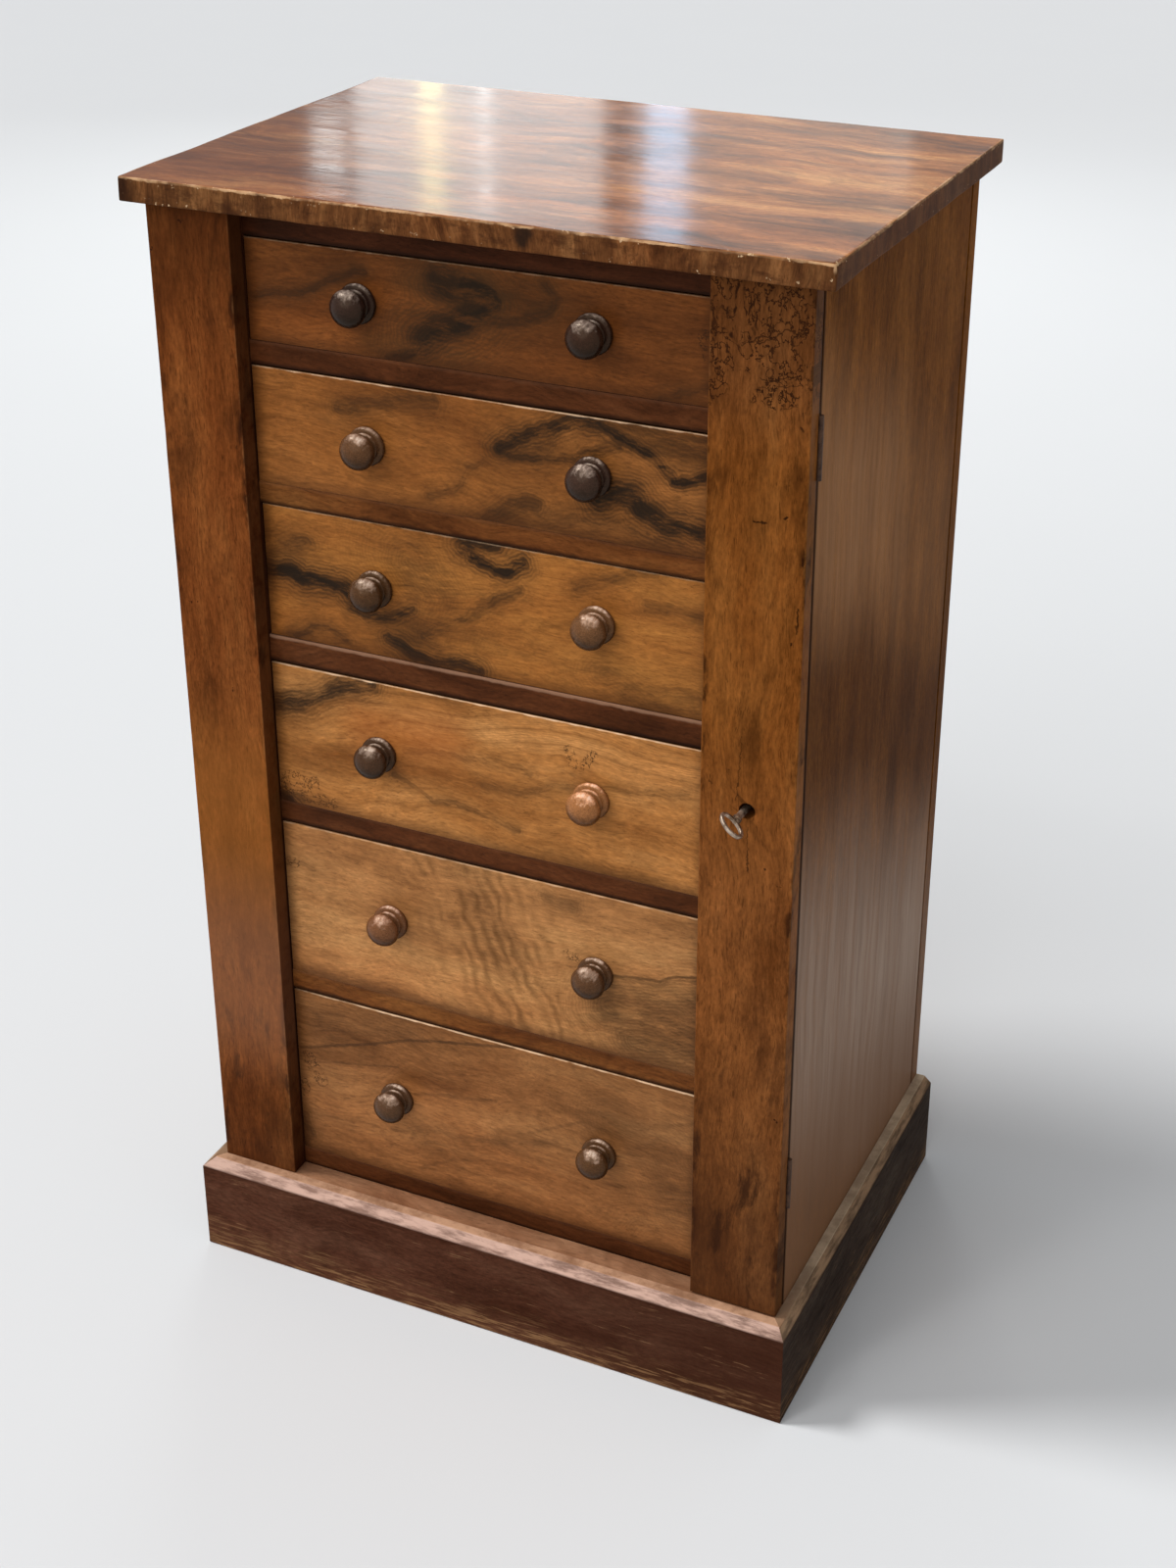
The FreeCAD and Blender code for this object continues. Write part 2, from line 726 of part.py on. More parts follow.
def knuckle_span(index, z_middle):
    """Bottom and length of one knuckle of a hinge."""
    length = (hinge_length - (hinge_knuckles - 1) * hinge_knuckle_gap) / hinge_knuckles
    bottom = z_middle - hinge_length / 2 + index * (length + hinge_knuckle_gap)
    return bottom, length


def make_leaf(y0, y1, own, z_middle):
    """One leaf of a butt hinge with its own knuckles, bored for the pin."""
    low = z_middle - hinge_length / 2
    plate = block(hinge_x - hinge_leaf_width, hinge_x, y0, y1, low, low + hinge_length)
    for index in range(hinge_knuckles):
        if index % 2 == own:
            continue
        bottom, length = knuckle_span(index, z_middle)
        plate = plate.cut(rod(hinge_x, hinge_y, bottom - hinge_knuckle_gap, upward,
                              hinge_knuckle_radius + hinge_knuckle_room, length + 2 * hinge_knuckle_gap))
    knuckles = [rod(hinge_x, hinge_y, knuckle_span(index, z_middle)[0], upward, hinge_knuckle_radius,
                    knuckle_span(index, z_middle)[1]) for index in range(hinge_knuckles) if index % 2 == own]
    leaf = plate.multiFuse(knuckles).removeSplitter()
    bore = rod(hinge_x, hinge_y, low - overrun, upward, hinge_pin_radius + hinge_pin_play,
               hinge_length + 2 * overrun)
    return leaf.cut(bore)


def hinge_screw_places(z_middle):
    """Where the three screws of a leaf sit."""
    x = hinge_x - hinge_screw_place_share * hinge_leaf_width
    return [(x, z_middle + step * hinge_screw_spread_share * hinge_length) for step in (-1, 0, 1)]


def hinge_screws(maker, y, direction):
    """Screws or holes of all the leaves on one side of the hinges."""
    places = [place for z in hinge_levels for place in hinge_screw_places(z)]
    return [maker(x, y, z, direction, screw_length) for x, z in places]


def fixed_hinge_screw_holes():
    """Holes in the side panel's front edge."""
    return hinge_screws(screw_hole, front_y, inward)


def moving_hinge_screw_holes():
    """Holes in the back of the hinged pilaster."""
    return hinge_screws(screw_hole, hinged_back_y, outward)


def hinge_rooms():
    """Round clearance for the knuckles in the wood on both sides."""
    return [rod(hinge_x, hinge_y, z - hinge_length / 2 - hinge_knuckle_room, upward,
                hinge_knuckle_radius + hinge_knuckle_room, hinge_length + 2 * hinge_knuckle_room)
            for z in hinge_levels]


def leaf_rooms(y0, y1):
    """Recesses that the leaves fill."""
    return [block(hinge_x - hinge_leaf_width, hinge_x, y0, y1, z - hinge_length / 2, z + hinge_length / 2)
            for z in hinge_levels]


def fixed_leaf_rooms():
    """Recesses in the side panel's front edge."""
    return leaf_rooms(front_y - overrun, front_y + hinge_leaf_thickness)


def moving_leaf_rooms():
    """Recesses in the back of the hinged pilaster."""
    return leaf_rooms(hinged_back_y - hinge_leaf_thickness, hinged_back_y + overrun)


def make_hinges():
    """Fixed leaves, moving leaves and pins of both hinges."""
    fixed = []
    moving = []
    pins = []
    for z in hinge_levels:
        fixed.append(make_leaf(front_y, front_y + hinge_leaf_thickness, 0, z))
        moving.append(make_leaf(hinged_back_y - hinge_leaf_thickness, hinged_back_y, 1, z))
        pins.append(rod(hinge_x, hinge_y, z - hinge_length / 2, upward, hinge_pin_radius,
                        hinge_length))
    fixed = [leaf.cut(fixed_hinge_screw_holes()) for leaf in fixed]
    moving = [leaf.cut(moving_hinge_screw_holes()) for leaf in moving]
    return fixed, moving, pins


def turned(shape, degrees):
    """Turn a piece about the key's axis."""
    shape.rotate(key_origin, inward, degrees)
    return shape


def lock_plate_block(extra):
    """The lock's plate, let in flush with the back of the pilaster."""
    middle_x = (lock_left_x + lock_right_x) / 2
    middle_z = (lock_low_z + lock_high_z) / 2
    return block(middle_x - lock_plate_width / 2, middle_x + lock_plate_width / 2,
                 hinged_back_y - lock_plate_thickness, hinged_back_y + extra,
                 middle_z - lock_plate_height / 2, middle_z + lock_plate_height / 2)


def lock_screw_places():
    """The four corners of the lock plate."""
    box = lock_plate_block(0).BoundBox
    return [(x, z) for x in (box.XMin + lock_screw_inset, box.XMax - lock_screw_inset)
            for z in (box.ZMin + lock_screw_inset, box.ZMax - lock_screw_inset)]


def lock_screws(maker):
    """Screws or holes at the corners of the lock plate."""
    return [maker(x, hinged_back_y, z, outward, screw_length) for x, z in lock_screw_places()]


def lock_screw_holes():
    """Holes for the lock's screws."""
    return lock_screws(screw_hole)


def make_lock_plate():
    """The plate that the case is fixed to, with a slotted keyhole."""
    plate = lock_plate_block(0)
    depth = lock_plate_thickness + 2 * overrun
    y0 = hinged_back_y - lock_plate_thickness - overrun
    hole = rod(key_x, y0, key_axis_z, inward, key_shank_radius + key_hole_play, depth)
    half_slot = key_bit_thickness / 2 + key_hole_play
    slot = block(key_x, key_x + key_bit_reach + key_hole_play, y0, y0 + depth,
                 key_axis_z - half_slot, key_axis_z + half_slot)
    slot = turned(slot, key_turn_at_rest_deg)
    return plate.cut([hole, slot] + lock_screw_holes())


def make_lock_case():
    """The box behind the plate, with the drill pin and the bolt's stump."""
    case = block(lock_left_x, lock_right_x, hinged_back_y, lock_back_y, lock_low_z, lock_high_z)
    inside = block(lock_left_x + lock_wall, lock_right_x - lock_wall, hinged_back_y - overrun, lock_cover_y,
                   lock_low_z + lock_wall, lock_high_z - lock_wall)
    mouth = block(lock_left_x - overrun, lock_left_x + lock_wall + overrun,
                  bolt_front_y - bolt_running_play, bolt_back_y + bolt_running_play,
                  bolt_low_z - bolt_running_play, bolt_high_z + bolt_running_play)
    pin = rod(key_x, lock_cover_y - drill_pin_length, key_axis_z, inward, drill_pin_radius,
              drill_pin_length)
    stump = rod(key_x + stump_offset, bolt_front_y, stump_z, inward, stump_radius,
                lock_cover_y - bolt_front_y)
    return case.cut([inside, mouth]).multiFuse([pin, stump]).removeSplitter()


def make_bolt():
    """The bolt drawn back, notched for the key and slotted for the stump."""
    bolt = block(lock_left_x + bolt_nose_inset, key_x + bolt_tail, bolt_front_y, bolt_back_y,
                 bolt_low_z, bolt_high_z)
    talon_middle = key_x + bolt_throw / 2
    talon = block(talon_middle - talon_width / 2, talon_middle + talon_width / 2, bolt_front_y - overrun,
                  bolt_back_y + overrun, bolt_high_z - talon_depth, bolt_high_z + overrun)
    slot_radius = stump_radius + bolt_running_play
    slot_x = key_x + stump_offset
    slot = block(slot_x - slot_radius, slot_x + bolt_throw + slot_radius, bolt_front_y - overrun,
                 bolt_back_y + overrun, stump_z - slot_radius, stump_z + slot_radius)
    return bolt.cut([talon, slot])


def bolt_passage(depth):
    """The way of the thrown bolt into the wall of the recess, down to a depth."""
    return block(recess_left_x - depth, recess_left_x + overrun, bolt_front_y - strike_hole_room,
                 bolt_back_y + strike_hole_room, bolt_low_z - strike_hole_room,
                 bolt_high_z + strike_hole_room)


def strike_room():
    """The shallow recess that the strike plate fills in the stile."""
    return block(recess_left_x - strike_thickness, recess_left_x, front_y + strike_inset,
                 recess_back_y - strike_inset, lock_low_z, lock_high_z)


def strike_screw_places():
    """Two places above the strike plate's hole."""
    y = (front_y + recess_back_y) / 2
    upper = lock_high_z - strike_screw_inset
    return [(y, upper), (y, upper - strike_screw_spread)]


def strike_screws(maker):
    """Screws or holes of the strike plate."""
    return [maker(recess_left_x, y, z, leftward, strike_screw_length)
            for y, z in strike_screw_places()]


def strike_screw_holes():
    """Holes for the strike plate's screws."""
    return strike_screws(screw_hole)


def make_strike():
    """The plate that the bolt shoots into."""
    passage = bolt_passage(strike_thickness + overrun)
    return strike_room().cut([passage] + strike_screw_holes())


def bow_face(half_width, half_length, centre_y):
    """An oval in the plane of the key's bow."""
    oval = Part.Ellipse(Vector(key_x + half_width, centre_y, key_axis_z),
                        Vector(key_x, centre_y + half_length, key_axis_z),
                        Vector(key_x, centre_y, key_axis_z))
    return Part.Face(Part.Wire(oval.toShape()))


def make_key():
    """A barrel key: oval bow, collar, hollow shank and bit."""
    bow_centre_y = face_y - key_reach + key_bow_length / 2
    half_length = key_bow_length / 2
    rise = Vector(0, 0, key_bow_thickness)
    bow = bow_face(key_bow_half_width, half_length, bow_centre_y).extrude(rise)
    hole = bow_face(key_bow_half_width - key_bow_wire, half_length - key_bow_wire, bow_centre_y).extrude(rise)
    bow = bow.cut(hole)
    bow = bow.makeFillet(key_bow_round, [edge for edge in bow.Edges if len(edge.Vertexes) < 2])
    bow.translate(Vector(0, 0, -key_bow_thickness / 2))
    shank_start = face_y - key_shank_out
    shank_end = lock_cover_y - key_end_gap
    shank = rod(key_x, shank_start, key_axis_z, inward, key_shank_radius, shank_end - shank_start)
    collar = rod(key_x, shank_start + key_collar_setback, key_axis_z, inward, key_collar_radius,
                 key_collar_length)
    bit_y = bolt_front_y + (bolt_thickness - key_bit_width) / 2
    bit = block(key_x, key_x + key_bit_reach, bit_y, bit_y + key_bit_width,
                key_axis_z - key_bit_thickness / 2, key_axis_z + key_bit_thickness / 2)
    barrel = rod(key_x, shank_end - key_barrel_depth, key_axis_z, inward,
                 drill_pin_radius + drill_pin_play, key_barrel_depth + overrun)
    key = shank.multiFuse([bow, collar, bit]).cut(barrel).removeSplitter()
    return turned(key, key_turn_at_rest_deg)


def main():
    """Build every node and write it."""
    os.makedirs("parts", exist_ok=True)
    save("top_board", make_top_board())
    save("side_left", make_side(-1))
    save("side_right", make_side(1))
    save("post_left", make_left_post())
    save("post_right", make_right_post())
    save("pilaster_left", make_left_pilaster())
    save("pilaster_right", make_right_pilaster())
    save("bottom_board", make_bottom_board())
    save("top_rail_front", make_rail(*all_rail_spans()[0]))
    save("top_rail_back", make_top_back_rail())
    for number, (z0, z1) in enumerate(rail_spans, start=1):
        save("drawer_rail_" + str(number), make_rail(z0, z1))
    save("bottom_rail", make_rail(*all_rail_spans()[-1]))
    save("drawer_runners", make_runners())
    save("drawer_guides", make_guides())
    save("drawer_stops", make_stops())
    frame, panels = make_back()
    save("back_frame", frame)
    save("back_panels", panels)
    save("plinth_front", make_plinth_front())
    save("plinth_left", make_plinth_side(-1))
    save("plinth_right", make_plinth_side(1))
    save("plinth_framing", make_plinth_framing())
    save("glue_blocks", make_glue_blocks())
    for number in range(len(opening_heights)):
        front, box, bottom, knobs = make_drawer(number)
        name = "drawer_" + str(number + 1)
        save(name + "_front", front)
        save(name + "_box", box)
        save(name + "_bottom", bottom)
        save(name + "_knobs", knobs)
    fixed, moving, pins = make_hinges()
    save("hinge_leaves_fixed", fixed)
    save("hinge_leaves_moving", moving)
    save("hinge_pins", pins)
    save("carcase_screws", hinge_screws(screw, front_y, inward) + strike_screws(screw))
    save("pilaster_screws", hinge_screws(screw, hinged_back_y, outward) + lock_screws(screw))
    save("strike_plate", make_strike())
    save("lock_plate", make_lock_plate())
    save("lock_case", make_lock_case())
    save("lock_bolt", make_bolt())
    save("key", make_key())


main()
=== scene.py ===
import math
from functools import reduce

import bmesh
import bpy
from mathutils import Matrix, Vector, noise


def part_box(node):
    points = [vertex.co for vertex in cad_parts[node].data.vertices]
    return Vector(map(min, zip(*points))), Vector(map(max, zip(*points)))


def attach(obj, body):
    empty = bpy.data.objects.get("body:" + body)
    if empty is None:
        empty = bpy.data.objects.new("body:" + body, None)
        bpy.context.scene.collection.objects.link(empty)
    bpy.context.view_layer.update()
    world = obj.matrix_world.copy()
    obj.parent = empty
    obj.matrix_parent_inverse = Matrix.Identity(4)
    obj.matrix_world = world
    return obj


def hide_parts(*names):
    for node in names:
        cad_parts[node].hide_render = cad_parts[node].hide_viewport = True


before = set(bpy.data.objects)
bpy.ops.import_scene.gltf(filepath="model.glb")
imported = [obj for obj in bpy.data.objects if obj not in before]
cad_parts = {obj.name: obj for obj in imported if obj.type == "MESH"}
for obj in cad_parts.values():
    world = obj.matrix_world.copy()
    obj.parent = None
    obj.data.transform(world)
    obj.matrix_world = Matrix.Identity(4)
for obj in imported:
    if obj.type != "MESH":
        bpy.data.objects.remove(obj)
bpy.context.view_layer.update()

# The camera stands to the right of the chest and looks down on it, as in the photograph. Its place is in
# metres, its turn in degrees and its lens in millimetres.
camera = bpy.data.objects.new("camera", bpy.data.cameras.new("camera"))
camera.location = (0.84077, -1.75918, 1.54269)
camera.rotation_euler = [math.radians(angle) for angle in (63.85727, -0.0547, 24.54011)]
camera.data.sensor_width = 36.0
camera.data.lens = 54.1114
camera.data.shift_x = -0.013705
camera.data.shift_y = -0.059391
bpy.context.scene.collection.objects.link(camera)
bpy.context.scene.camera = camera
bpy.context.scene.view_settings.view_transform = "Standard"


# The floor is plain pale paper, laid flat under the chest. It keeps the chest's soft shadow. Its finish is
# made with the same helpers as all the others.
def screen(red, green, blue):
    """A colour by its 0 to 255 levels on a screen, as the linear colour that a shader takes."""
    levels = [value / 255 for value in (red, green, blue)]
    return (*[v / 12.92 if v <= 0.04045 else ((v + 0.055) / 1.055) ** 2.4 for v in levels], 1.0)


def shades(levels):
    """Several colours by their screen levels."""
    return [screen(*level) for level in levels]


def faded(colour, strength):
    """The same colour, lighter or darker."""
    return (*[value * strength for value in colour[:3]], 1.0)


class Nodes:
    """A tree of shader nodes. A number, a colour or another node's output may feed any input."""

    def __init__(self, tree):
        self.tree = tree

    def feed(self, socket, value):
        if isinstance(value, bpy.types.NodeSocket):
            self.tree.links.new(value, socket)
        else:
            socket.default_value = value

    def node(self, kind, feeds, **settings):
        made = self.tree.nodes.new("ShaderNode" + kind)
        for key, value in settings.items():
            setattr(made, key, value)
        for key, value in feeds.items():
            self.feed(made.inputs[key], value)
        return made

    def calc(self, operation, *values, clamp=False):
        feeds = dict(enumerate(values))
        return self.node("Math", feeds, operation=operation, use_clamp=clamp).outputs[0]

    def times(self, one, other, clamp=False):
        return self.calc("MULTIPLY", one, other, clamp=clamp)

    def less(self, one, other):
        return self.calc("SUBTRACT", one, other)

    def off(self, value, centre):
        """How far a value is from a centre, either way."""
        return self.calc("ABSOLUTE", self.less(value, centre))

    def fold(self, operation, values):
        """Joins several values into one, each to those before it."""
        return reduce(lambda one, other: self.calc(operation, one, other), values)

    def vector(self, operation, *values, output="Vector"):
        return self.node("VectorMath", dict(enumerate(values)), operation=operation).outputs[output]

    def parts(self, vector):
        return self.node("SeparateXYZ", {"Vector": vector}).outputs

    def laid(self, place, scale=(1, 1, 1), shift=(0, 0, 0), turn=(0, 0, 0)):
        feeds = {"Vector": place, "Scale": scale, "Location": shift, "Rotation": turn}
        return self.node("Mapping", feeds).outputs["Vector"]

    def noise(self, place, scale, detail=2.0, roughness=0.5, output="Fac"):
        feeds = {"Vector": place, "Scale": scale, "Detail": detail, "Roughness": roughness}
        return self.node("TexNoise", feeds).outputs[output]

    def wandering(self, place, scale, reach, detail=2.0):
        """The place, moved about by a slow noise, by up to half of reach each way."""
        colour = self.noise(place, scale, detail, output="Color")
        shaken = self.vector("SUBTRACT", colour, (0.5, 0.5, 0.5))
        return self.vector("ADD", place, self.vector("MULTIPLY", shaken, reach))

    def spots(self, place, scale):
        """How far the place is from the nearest of many scattered points."""
        return self.node("TexVoronoi", {"Vector": place, "Scale": scale}, feature="F1").outputs["Distance"]

    def grade(self, value, low, high, to_low=0.0, to_high=1.0, way="SMOOTHSTEP"):
        feeds = {"Value": value, "From Min": low, "From Max": high, "To Min": to_low, "To Max": to_high}
        return self.node("MapRange", feeds, interpolation_type=way).outputs["Result"]

    def ramp(self, value, *stops):
        made = self.node("ValToRGB", {"Fac": value})
        band = made.color_ramp
        band.elements[0].position, band.elements[0].color = stops[0]
        band.elements[1].position, band.elements[1].color = stops[-1]
        for position, colour in stops[1:-1]:
            band.elements.new(position).color = colour
        return made.outputs["Color"]

    def mix(self, share, one, other, way="MIX"):
        """A mix of two colours, which are the node's inputs 6 and 7."""
        made = self.node("Mix", {0: share, 6: one, 7: other}, data_type="RGBA", blend_type=way)
        return made.outputs[2]

    def over(self, colour, share, red, green, blue):
        """The colour with another one laid over it, by its screen levels."""
        return self.mix(share, colour, screen(red, green, blue))

    def levelled(self, colour, level):
        """A colour made darker or lighter by a level that differs from place to place."""
        grey = self.node("CombineColor", dict.fromkeys(range(3), level)).outputs[0]
        return self.mix(1.0, colour, grey, "MULTIPLY")

    def relief(self, height, depth, under=None):
        feeds = {"Height": height, "Distance": depth}
        if under is not None:
            feeds["Normal"] = under
        return self.node("Bump", feeds).outputs["Normal"]


class Finish(Nodes):
    """One material, with the place and the facing of the surface that it lies on."""

    def __init__(self, name):
        self.material = bpy.data.materials.new(name)
        self.material.use_nodes = True
        super().__init__(self.material.node_tree)
        self.shader = self.tree.nodes["Principled BSDF"]
        surface = self.node("TexCoord", {}).outputs
        self.place = surface["Object"]
        self.facing = surface["Normal"]

    def grains(self, scale, detail=2.0, roughness=0.5, shift=(0, 0, 0), on=None):
        """A noise with its own scale along each axis, on the place or on a moved one."""
        place = self.place if on is None else on
        return self.noise(self.laid(place, scale, shift), 1, detail, roughness)

    def finish(self, colour, roughness, normal=None, **constants):
        """Joins what was made to the shader, whose constant values are set on its own sockets."""
        self.feed(self.shader.inputs["Base Color"], colour)
        self.feed(self.shader.inputs["Roughness"], roughness)
        if normal is not None:
            self.feed(self.shader.inputs["Normal"], normal)
        for socket, value in constants.items():
            self.shader.inputs[socket.replace("_", " ")].default_value = value
        return self.material


FLOOR_HALF = 30.0
paper = Finish("pale_paper")
paper_grey = paper.mix(paper.noise(paper.place, 3), screen(221, 223, 225), screen(222, 224, 226))
paper_material = paper.finish(paper_grey, 0.9, Specular_IOR_Level=0.0)
floor_form = bmesh.new()
bmesh.ops.create_grid(floor_form, x_segments=1, y_segments=1, size=FLOOR_HALF)
floor_mesh = bpy.data.meshes.new("floor")
floor_form.to_mesh(floor_mesh)
floor_mesh.materials.append(paper_material)
floor = bpy.data.objects.new("floor", floor_mesh)
bpy.context.scene.collection.objects.link(floor)

# Even light comes from all round, with a soft sun from the front left. The pale background is seen by the
# camera and in gloss, and adds no light.
BACKGROUND = screen(228, 228, 228)
EVEN_STRENGTH = 0.33
world = bpy.data.worlds.new("studio")
bpy.context.scene.world = world
world.use_nodes = True
even_light = world.node_tree.nodes["Background"]
even_light.inputs["Color"].default_value = (0.97, 0.98, 1.0, 1.0)
even_light.inputs["Strength"].default_value = EVEN_STRENGTH
sky = Nodes(world.node_tree)
backdrop = sky.node("Background", {"Color": BACKGROUND})
rays = sky.node("LightPath", {}).outputs
seen = sky.fold("MAXIMUM", [rays[f"Is {kind} Ray"] for kind in ("Glossy", "Transmission", "Camera")])
choice = sky.node("MixShader", {"Fac": seen, 1: even_light.outputs[0], 2: backdrop.outputs[0]})
sky.feed(sky.tree.nodes["World Output"].inputs["Surface"], choice.outputs[0])


def lamp(name, kind, place, aim, strength, colour, **sizes):
    light = bpy.data.lights.new(name, kind)
    light.energy = strength
    light.color = colour
    for key, value in sizes.items():
        setattr(light, key, value)
    made = bpy.data.objects.new(name, light)
    made.location = place
    made.rotation_euler = (Vector(aim) - Vector(place)).to_track_quat("-Z", "Y").to_euler()
    made.visible_camera = False
    bpy.context.scene.collection.objects.link(made)


CHEST_MIDDLE = (0.0, 0.0, 0.55)
DAYLIGHT = (1.0, 0.99, 0.98)
lamp("left_sun", "SUN", (-2.3, -0.7, 3.7), CHEST_MIDDLE, 1.95, DAYLIGHT, angle=math.radians(15))
lamp("front_sun", "SUN", (-0.6, -3.0, 2.6), CHEST_MIDDLE, 1.1, DAYLIGHT, angle=math.radians(60))
lamp("overhead_lamp", "AREA", (-0.9, -2.3, 2.9), CHEST_MIDDLE, 7.0, DAYLIGHT, shape="DISK", size=0.7)
lamp("ceiling_lamp", "AREA", (-0.3, -1.3, 3.1), CHEST_MIDDLE, 3.5, (1.0, 0.97, 0.93), shape="DISK", size=0.2)

# Windows and lamps behind the chest show as streaks of light in its polished top. For each: where it is, how
# wide and high, how strong, and its colour.
WINDOW_Y = 4.0
for name, x, z, width, height, strength, colour in (
    ("window_left", -2.36, 2.2, 0.38, 1.9, 9.5, (0.95, 1.0, 1.0)),
    ("window_right", -1.99, 2.2, 0.34, 1.9, 7.5, (0.97, 1.0, 1.0)),
    ("warm_streak", -2.33, 2.2, 0.06, 1.9, 1.5, (1.0, 0.82, 0.28)),
    ("cool_streak", -1.62, 2.15, 0.11, 1.7, 3.3, (0.42, 0.7, 1.0)),
    ("pale_wall", -1.33, 2.2, 0.74, 1.9, 6.6, (1.0, 0.95, 0.88)),
    ("far_wall", -0.7, 2.2, 0.6, 1.9, 1.7, (1.0, 0.93, 0.84)),
    ("small_lamp", -2.665, 2.19, 0.09, 0.12, 0.35, (0.95, 1.0, 1.0)),
):
    aim = (x * 0.1, 0.0, 1.0)
    lamp(name, "AREA", (x, WINDOW_Y, z), aim, strength, colour, shape="RECTANGLE", size=width, size_y=height)


# The top board is a slab of flame walnut, polished reddish brown. Its edges are faced with strips of walnut
# that run across the edge, and its arrises are worn round and pale, with a knock in the front one.
def woody(wood, grain, shift, tones, figure=1.0, wander=1.0, lines=10.0, fibre=0.1, pores=0.3, red=0.5,
          rings=0.5):
    """Colour, height and flow of bare wood. The fibres run along grain, one of x, y and z, and wander about.
    Tones go from dark to pale in slow bands, lines and rings are how many growth rings there are and how dark
    they are, and red is how rosy some parts are."""
    axis = "xyz".index(grain)

    def stretch(along, across):
        return tuple(along if i == axis else across for i in range(3))

    moved = wood.laid(wood.place, shift=shift)
    flow = wood.wandering(moved, 4, stretch(0.05, 0.08 * wander))
    flow = wood.wandering(flow, 17, stretch(0.012, 0.016 * wander))

    def layer(along, across, detail=2.0, roughness=0.5, shift=(0.0, 0.0, 0.0), on=flow):
        """A noise that is drawn out along the fibres."""
        return wood.grains(stretch(along, across), detail, roughness, shift, on)

    # Slow bands of tone, some of them rosy.
    band = layer(3 * figure, 13 * figure, 6, 0.62)
    last = len(tones) - 1
    tone = wood.ramp(band, *[(0.32 + 0.36 * i / last, colour) for i, colour in enumerate(tones)])
    rosy = wood.grade(layer(2, 8, shift=(5, 5, 5)), 0.4, 0.7)
    tone = wood.mix(wood.times(rosy, red), tone, (1.12, 0.86, 0.7, 1.0), "MULTIPLY")

    # Growth rings. Finer ones lie between them.
    field = layer(1.4, 6, 2, 0.4, (3.1, 7.7, 1.3))
    strength = layer(4, 16, shift=(9.2, 0.4, 5.1))
    ring = wood.calc("PINGPONG", wood.times(field, lines), 0.5)
    ring = wood.times(wood.grade(ring, 0.2, 0.0), wood.grade(strength, 0.42, 0.7))
    tone = wood.mix(wood.times(ring, rings), tone, faded(tones[0], 0.6))
    fine_ring = wood.calc("PINGPONG", wood.times(field, lines * 6.0), 0.5)
    fine_ring = wood.times(wood.grade(fine_ring, 0.3, 0.05), wood.grade(strength, 0.35, 0.6, 0.15, 0.5))
    tone = wood.mix(wood.times(fine_ring, rings), tone, faded(tones[0], 0.9))

    # Single fibres, flecks and open pores.
    strand = layer(30, 330, 3, 0.7)
    fleck = layer(150, 420, 2, 0.7, on=moved)
    levels = [wood.grade(value, 0.3, 0.7, 1.0 - fibre, 1.0 + fibre, "LINEAR") for value in (strand, fleck)]
    tone = wood.levelled(tone, wood.times(*levels))
    pore = wood.grade(layer(70, 800, 1), 0.62, 0.7)
    tone = wood.mix(wood.times(pore, pores), tone, faded(tones[0], 0.35))
    height = wood.less(wood.times(strand, 0.5), wood.times(pore, 0.6))
    return tone, height, flow


# Faces that meet at a sharper angle than the first show an arris. Those flatter than the second are one face.
SHARP = math.radians(38)
FLAT = math.radians(0.2)
# Points that are closer than this are one.
SAME_PLACE = 1e-6


def linked(name, form, body, slot, material, *nodes):
    """Makes a shown piece from a bmesh, smooth but for its sharp edges."""
    mesh = bpy.data.meshes.new(name)
    form.to_mesh(mesh)
    form.free()
    mesh.polygons.foreach_set("use_smooth", [True] * len(mesh.polygons))
    mesh.set_sharp_from_angle(angle=SHARP)
    mesh.materials.append(material)
    piece = bpy.data.objects.new(name, mesh)
    bpy.context.scene.collection.objects.link(piece)
    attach(piece, body)
    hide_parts(*nodes)


def worn_copy(node, step, radius, knocks=(), seed=0.0):
    """A bmesh of a CAD board whose outer arrises are worn round by a wandering radius. Each knock is a place,
    a reach and a depth, and wears the arris further there."""
    low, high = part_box(node)
    form = bmesh.new()
    form.from_mesh(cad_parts[node].data)
    bmesh.ops.remove_doubles(form, verts=form.verts, dist=SAME_PLACE)
    bmesh.ops.dissolve_limit(form, angle_limit=FLAT, verts=form.verts, edges=form.edges)
    # The board is cut all over, and more finely near its arrises.
    near = [radius * share for share in (0.25, 0.55, 0.9, 1.35, 2.2)]
    for axis in range(3):
        span = high[axis] - low[axis]
        count = round(span / step)
        cuts = [low[axis] + span * i / count for i in range(1, count)]
        cuts += [low[axis] + n for n in near if 2 * n < span] + [high[axis] - n for n in near if 2 * n < span]
        direction = Vector([1.0 if i == axis else 0.0 for i in range(3)])
        for cut in cuts:
            everything = form.verts[:] + form.edges[:] + form.faces[:]
            bmesh.ops.bisect_plane(form, geom=everything, dist=SAME_PLACE, plane_co=direction * cut,
                                   plane_no=direction)
    arris = form.verts.layers.float.new("arris")
    for vert in form.verts:
        place = vert.co.copy()
        gaps = [min(place[i] - low[i], high[i] - place[i]) for i in range(3)]
        vert[arris] = sorted(gaps)[1]
        wear = radius * (0.7 + 0.9 * noise.noise(place * 9.0 + Vector((seed, seed, seed))))
        wear += radius * 0.5 * noise.noise(place * 60.0)
        for spot, reach, depth in knocks:
            wear += depth * max(0.0, 1.0 - (place - Vector(spot)).length / reach) ** 0.5
        wear = max(wear, radius * 0.25)
        inset = [max(0.0, wear - gap) for gap in gaps]
        length = math.sqrt(sum(value * value for value in inset))
        if length > wear:
            for i in range(3):
                pull = inset[i] * (1.0 - wear / length)
                vert.co[i] += pull if place[i] - low[i] < high[i] - place[i] else -pull
    return form


TOP_LOW, TOP_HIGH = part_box("top_board")
top = Finish("polished_top")
top_x, _, top_z = top.parts(top.place)
facing_x, _, facing_z = top.parts(top.facing)

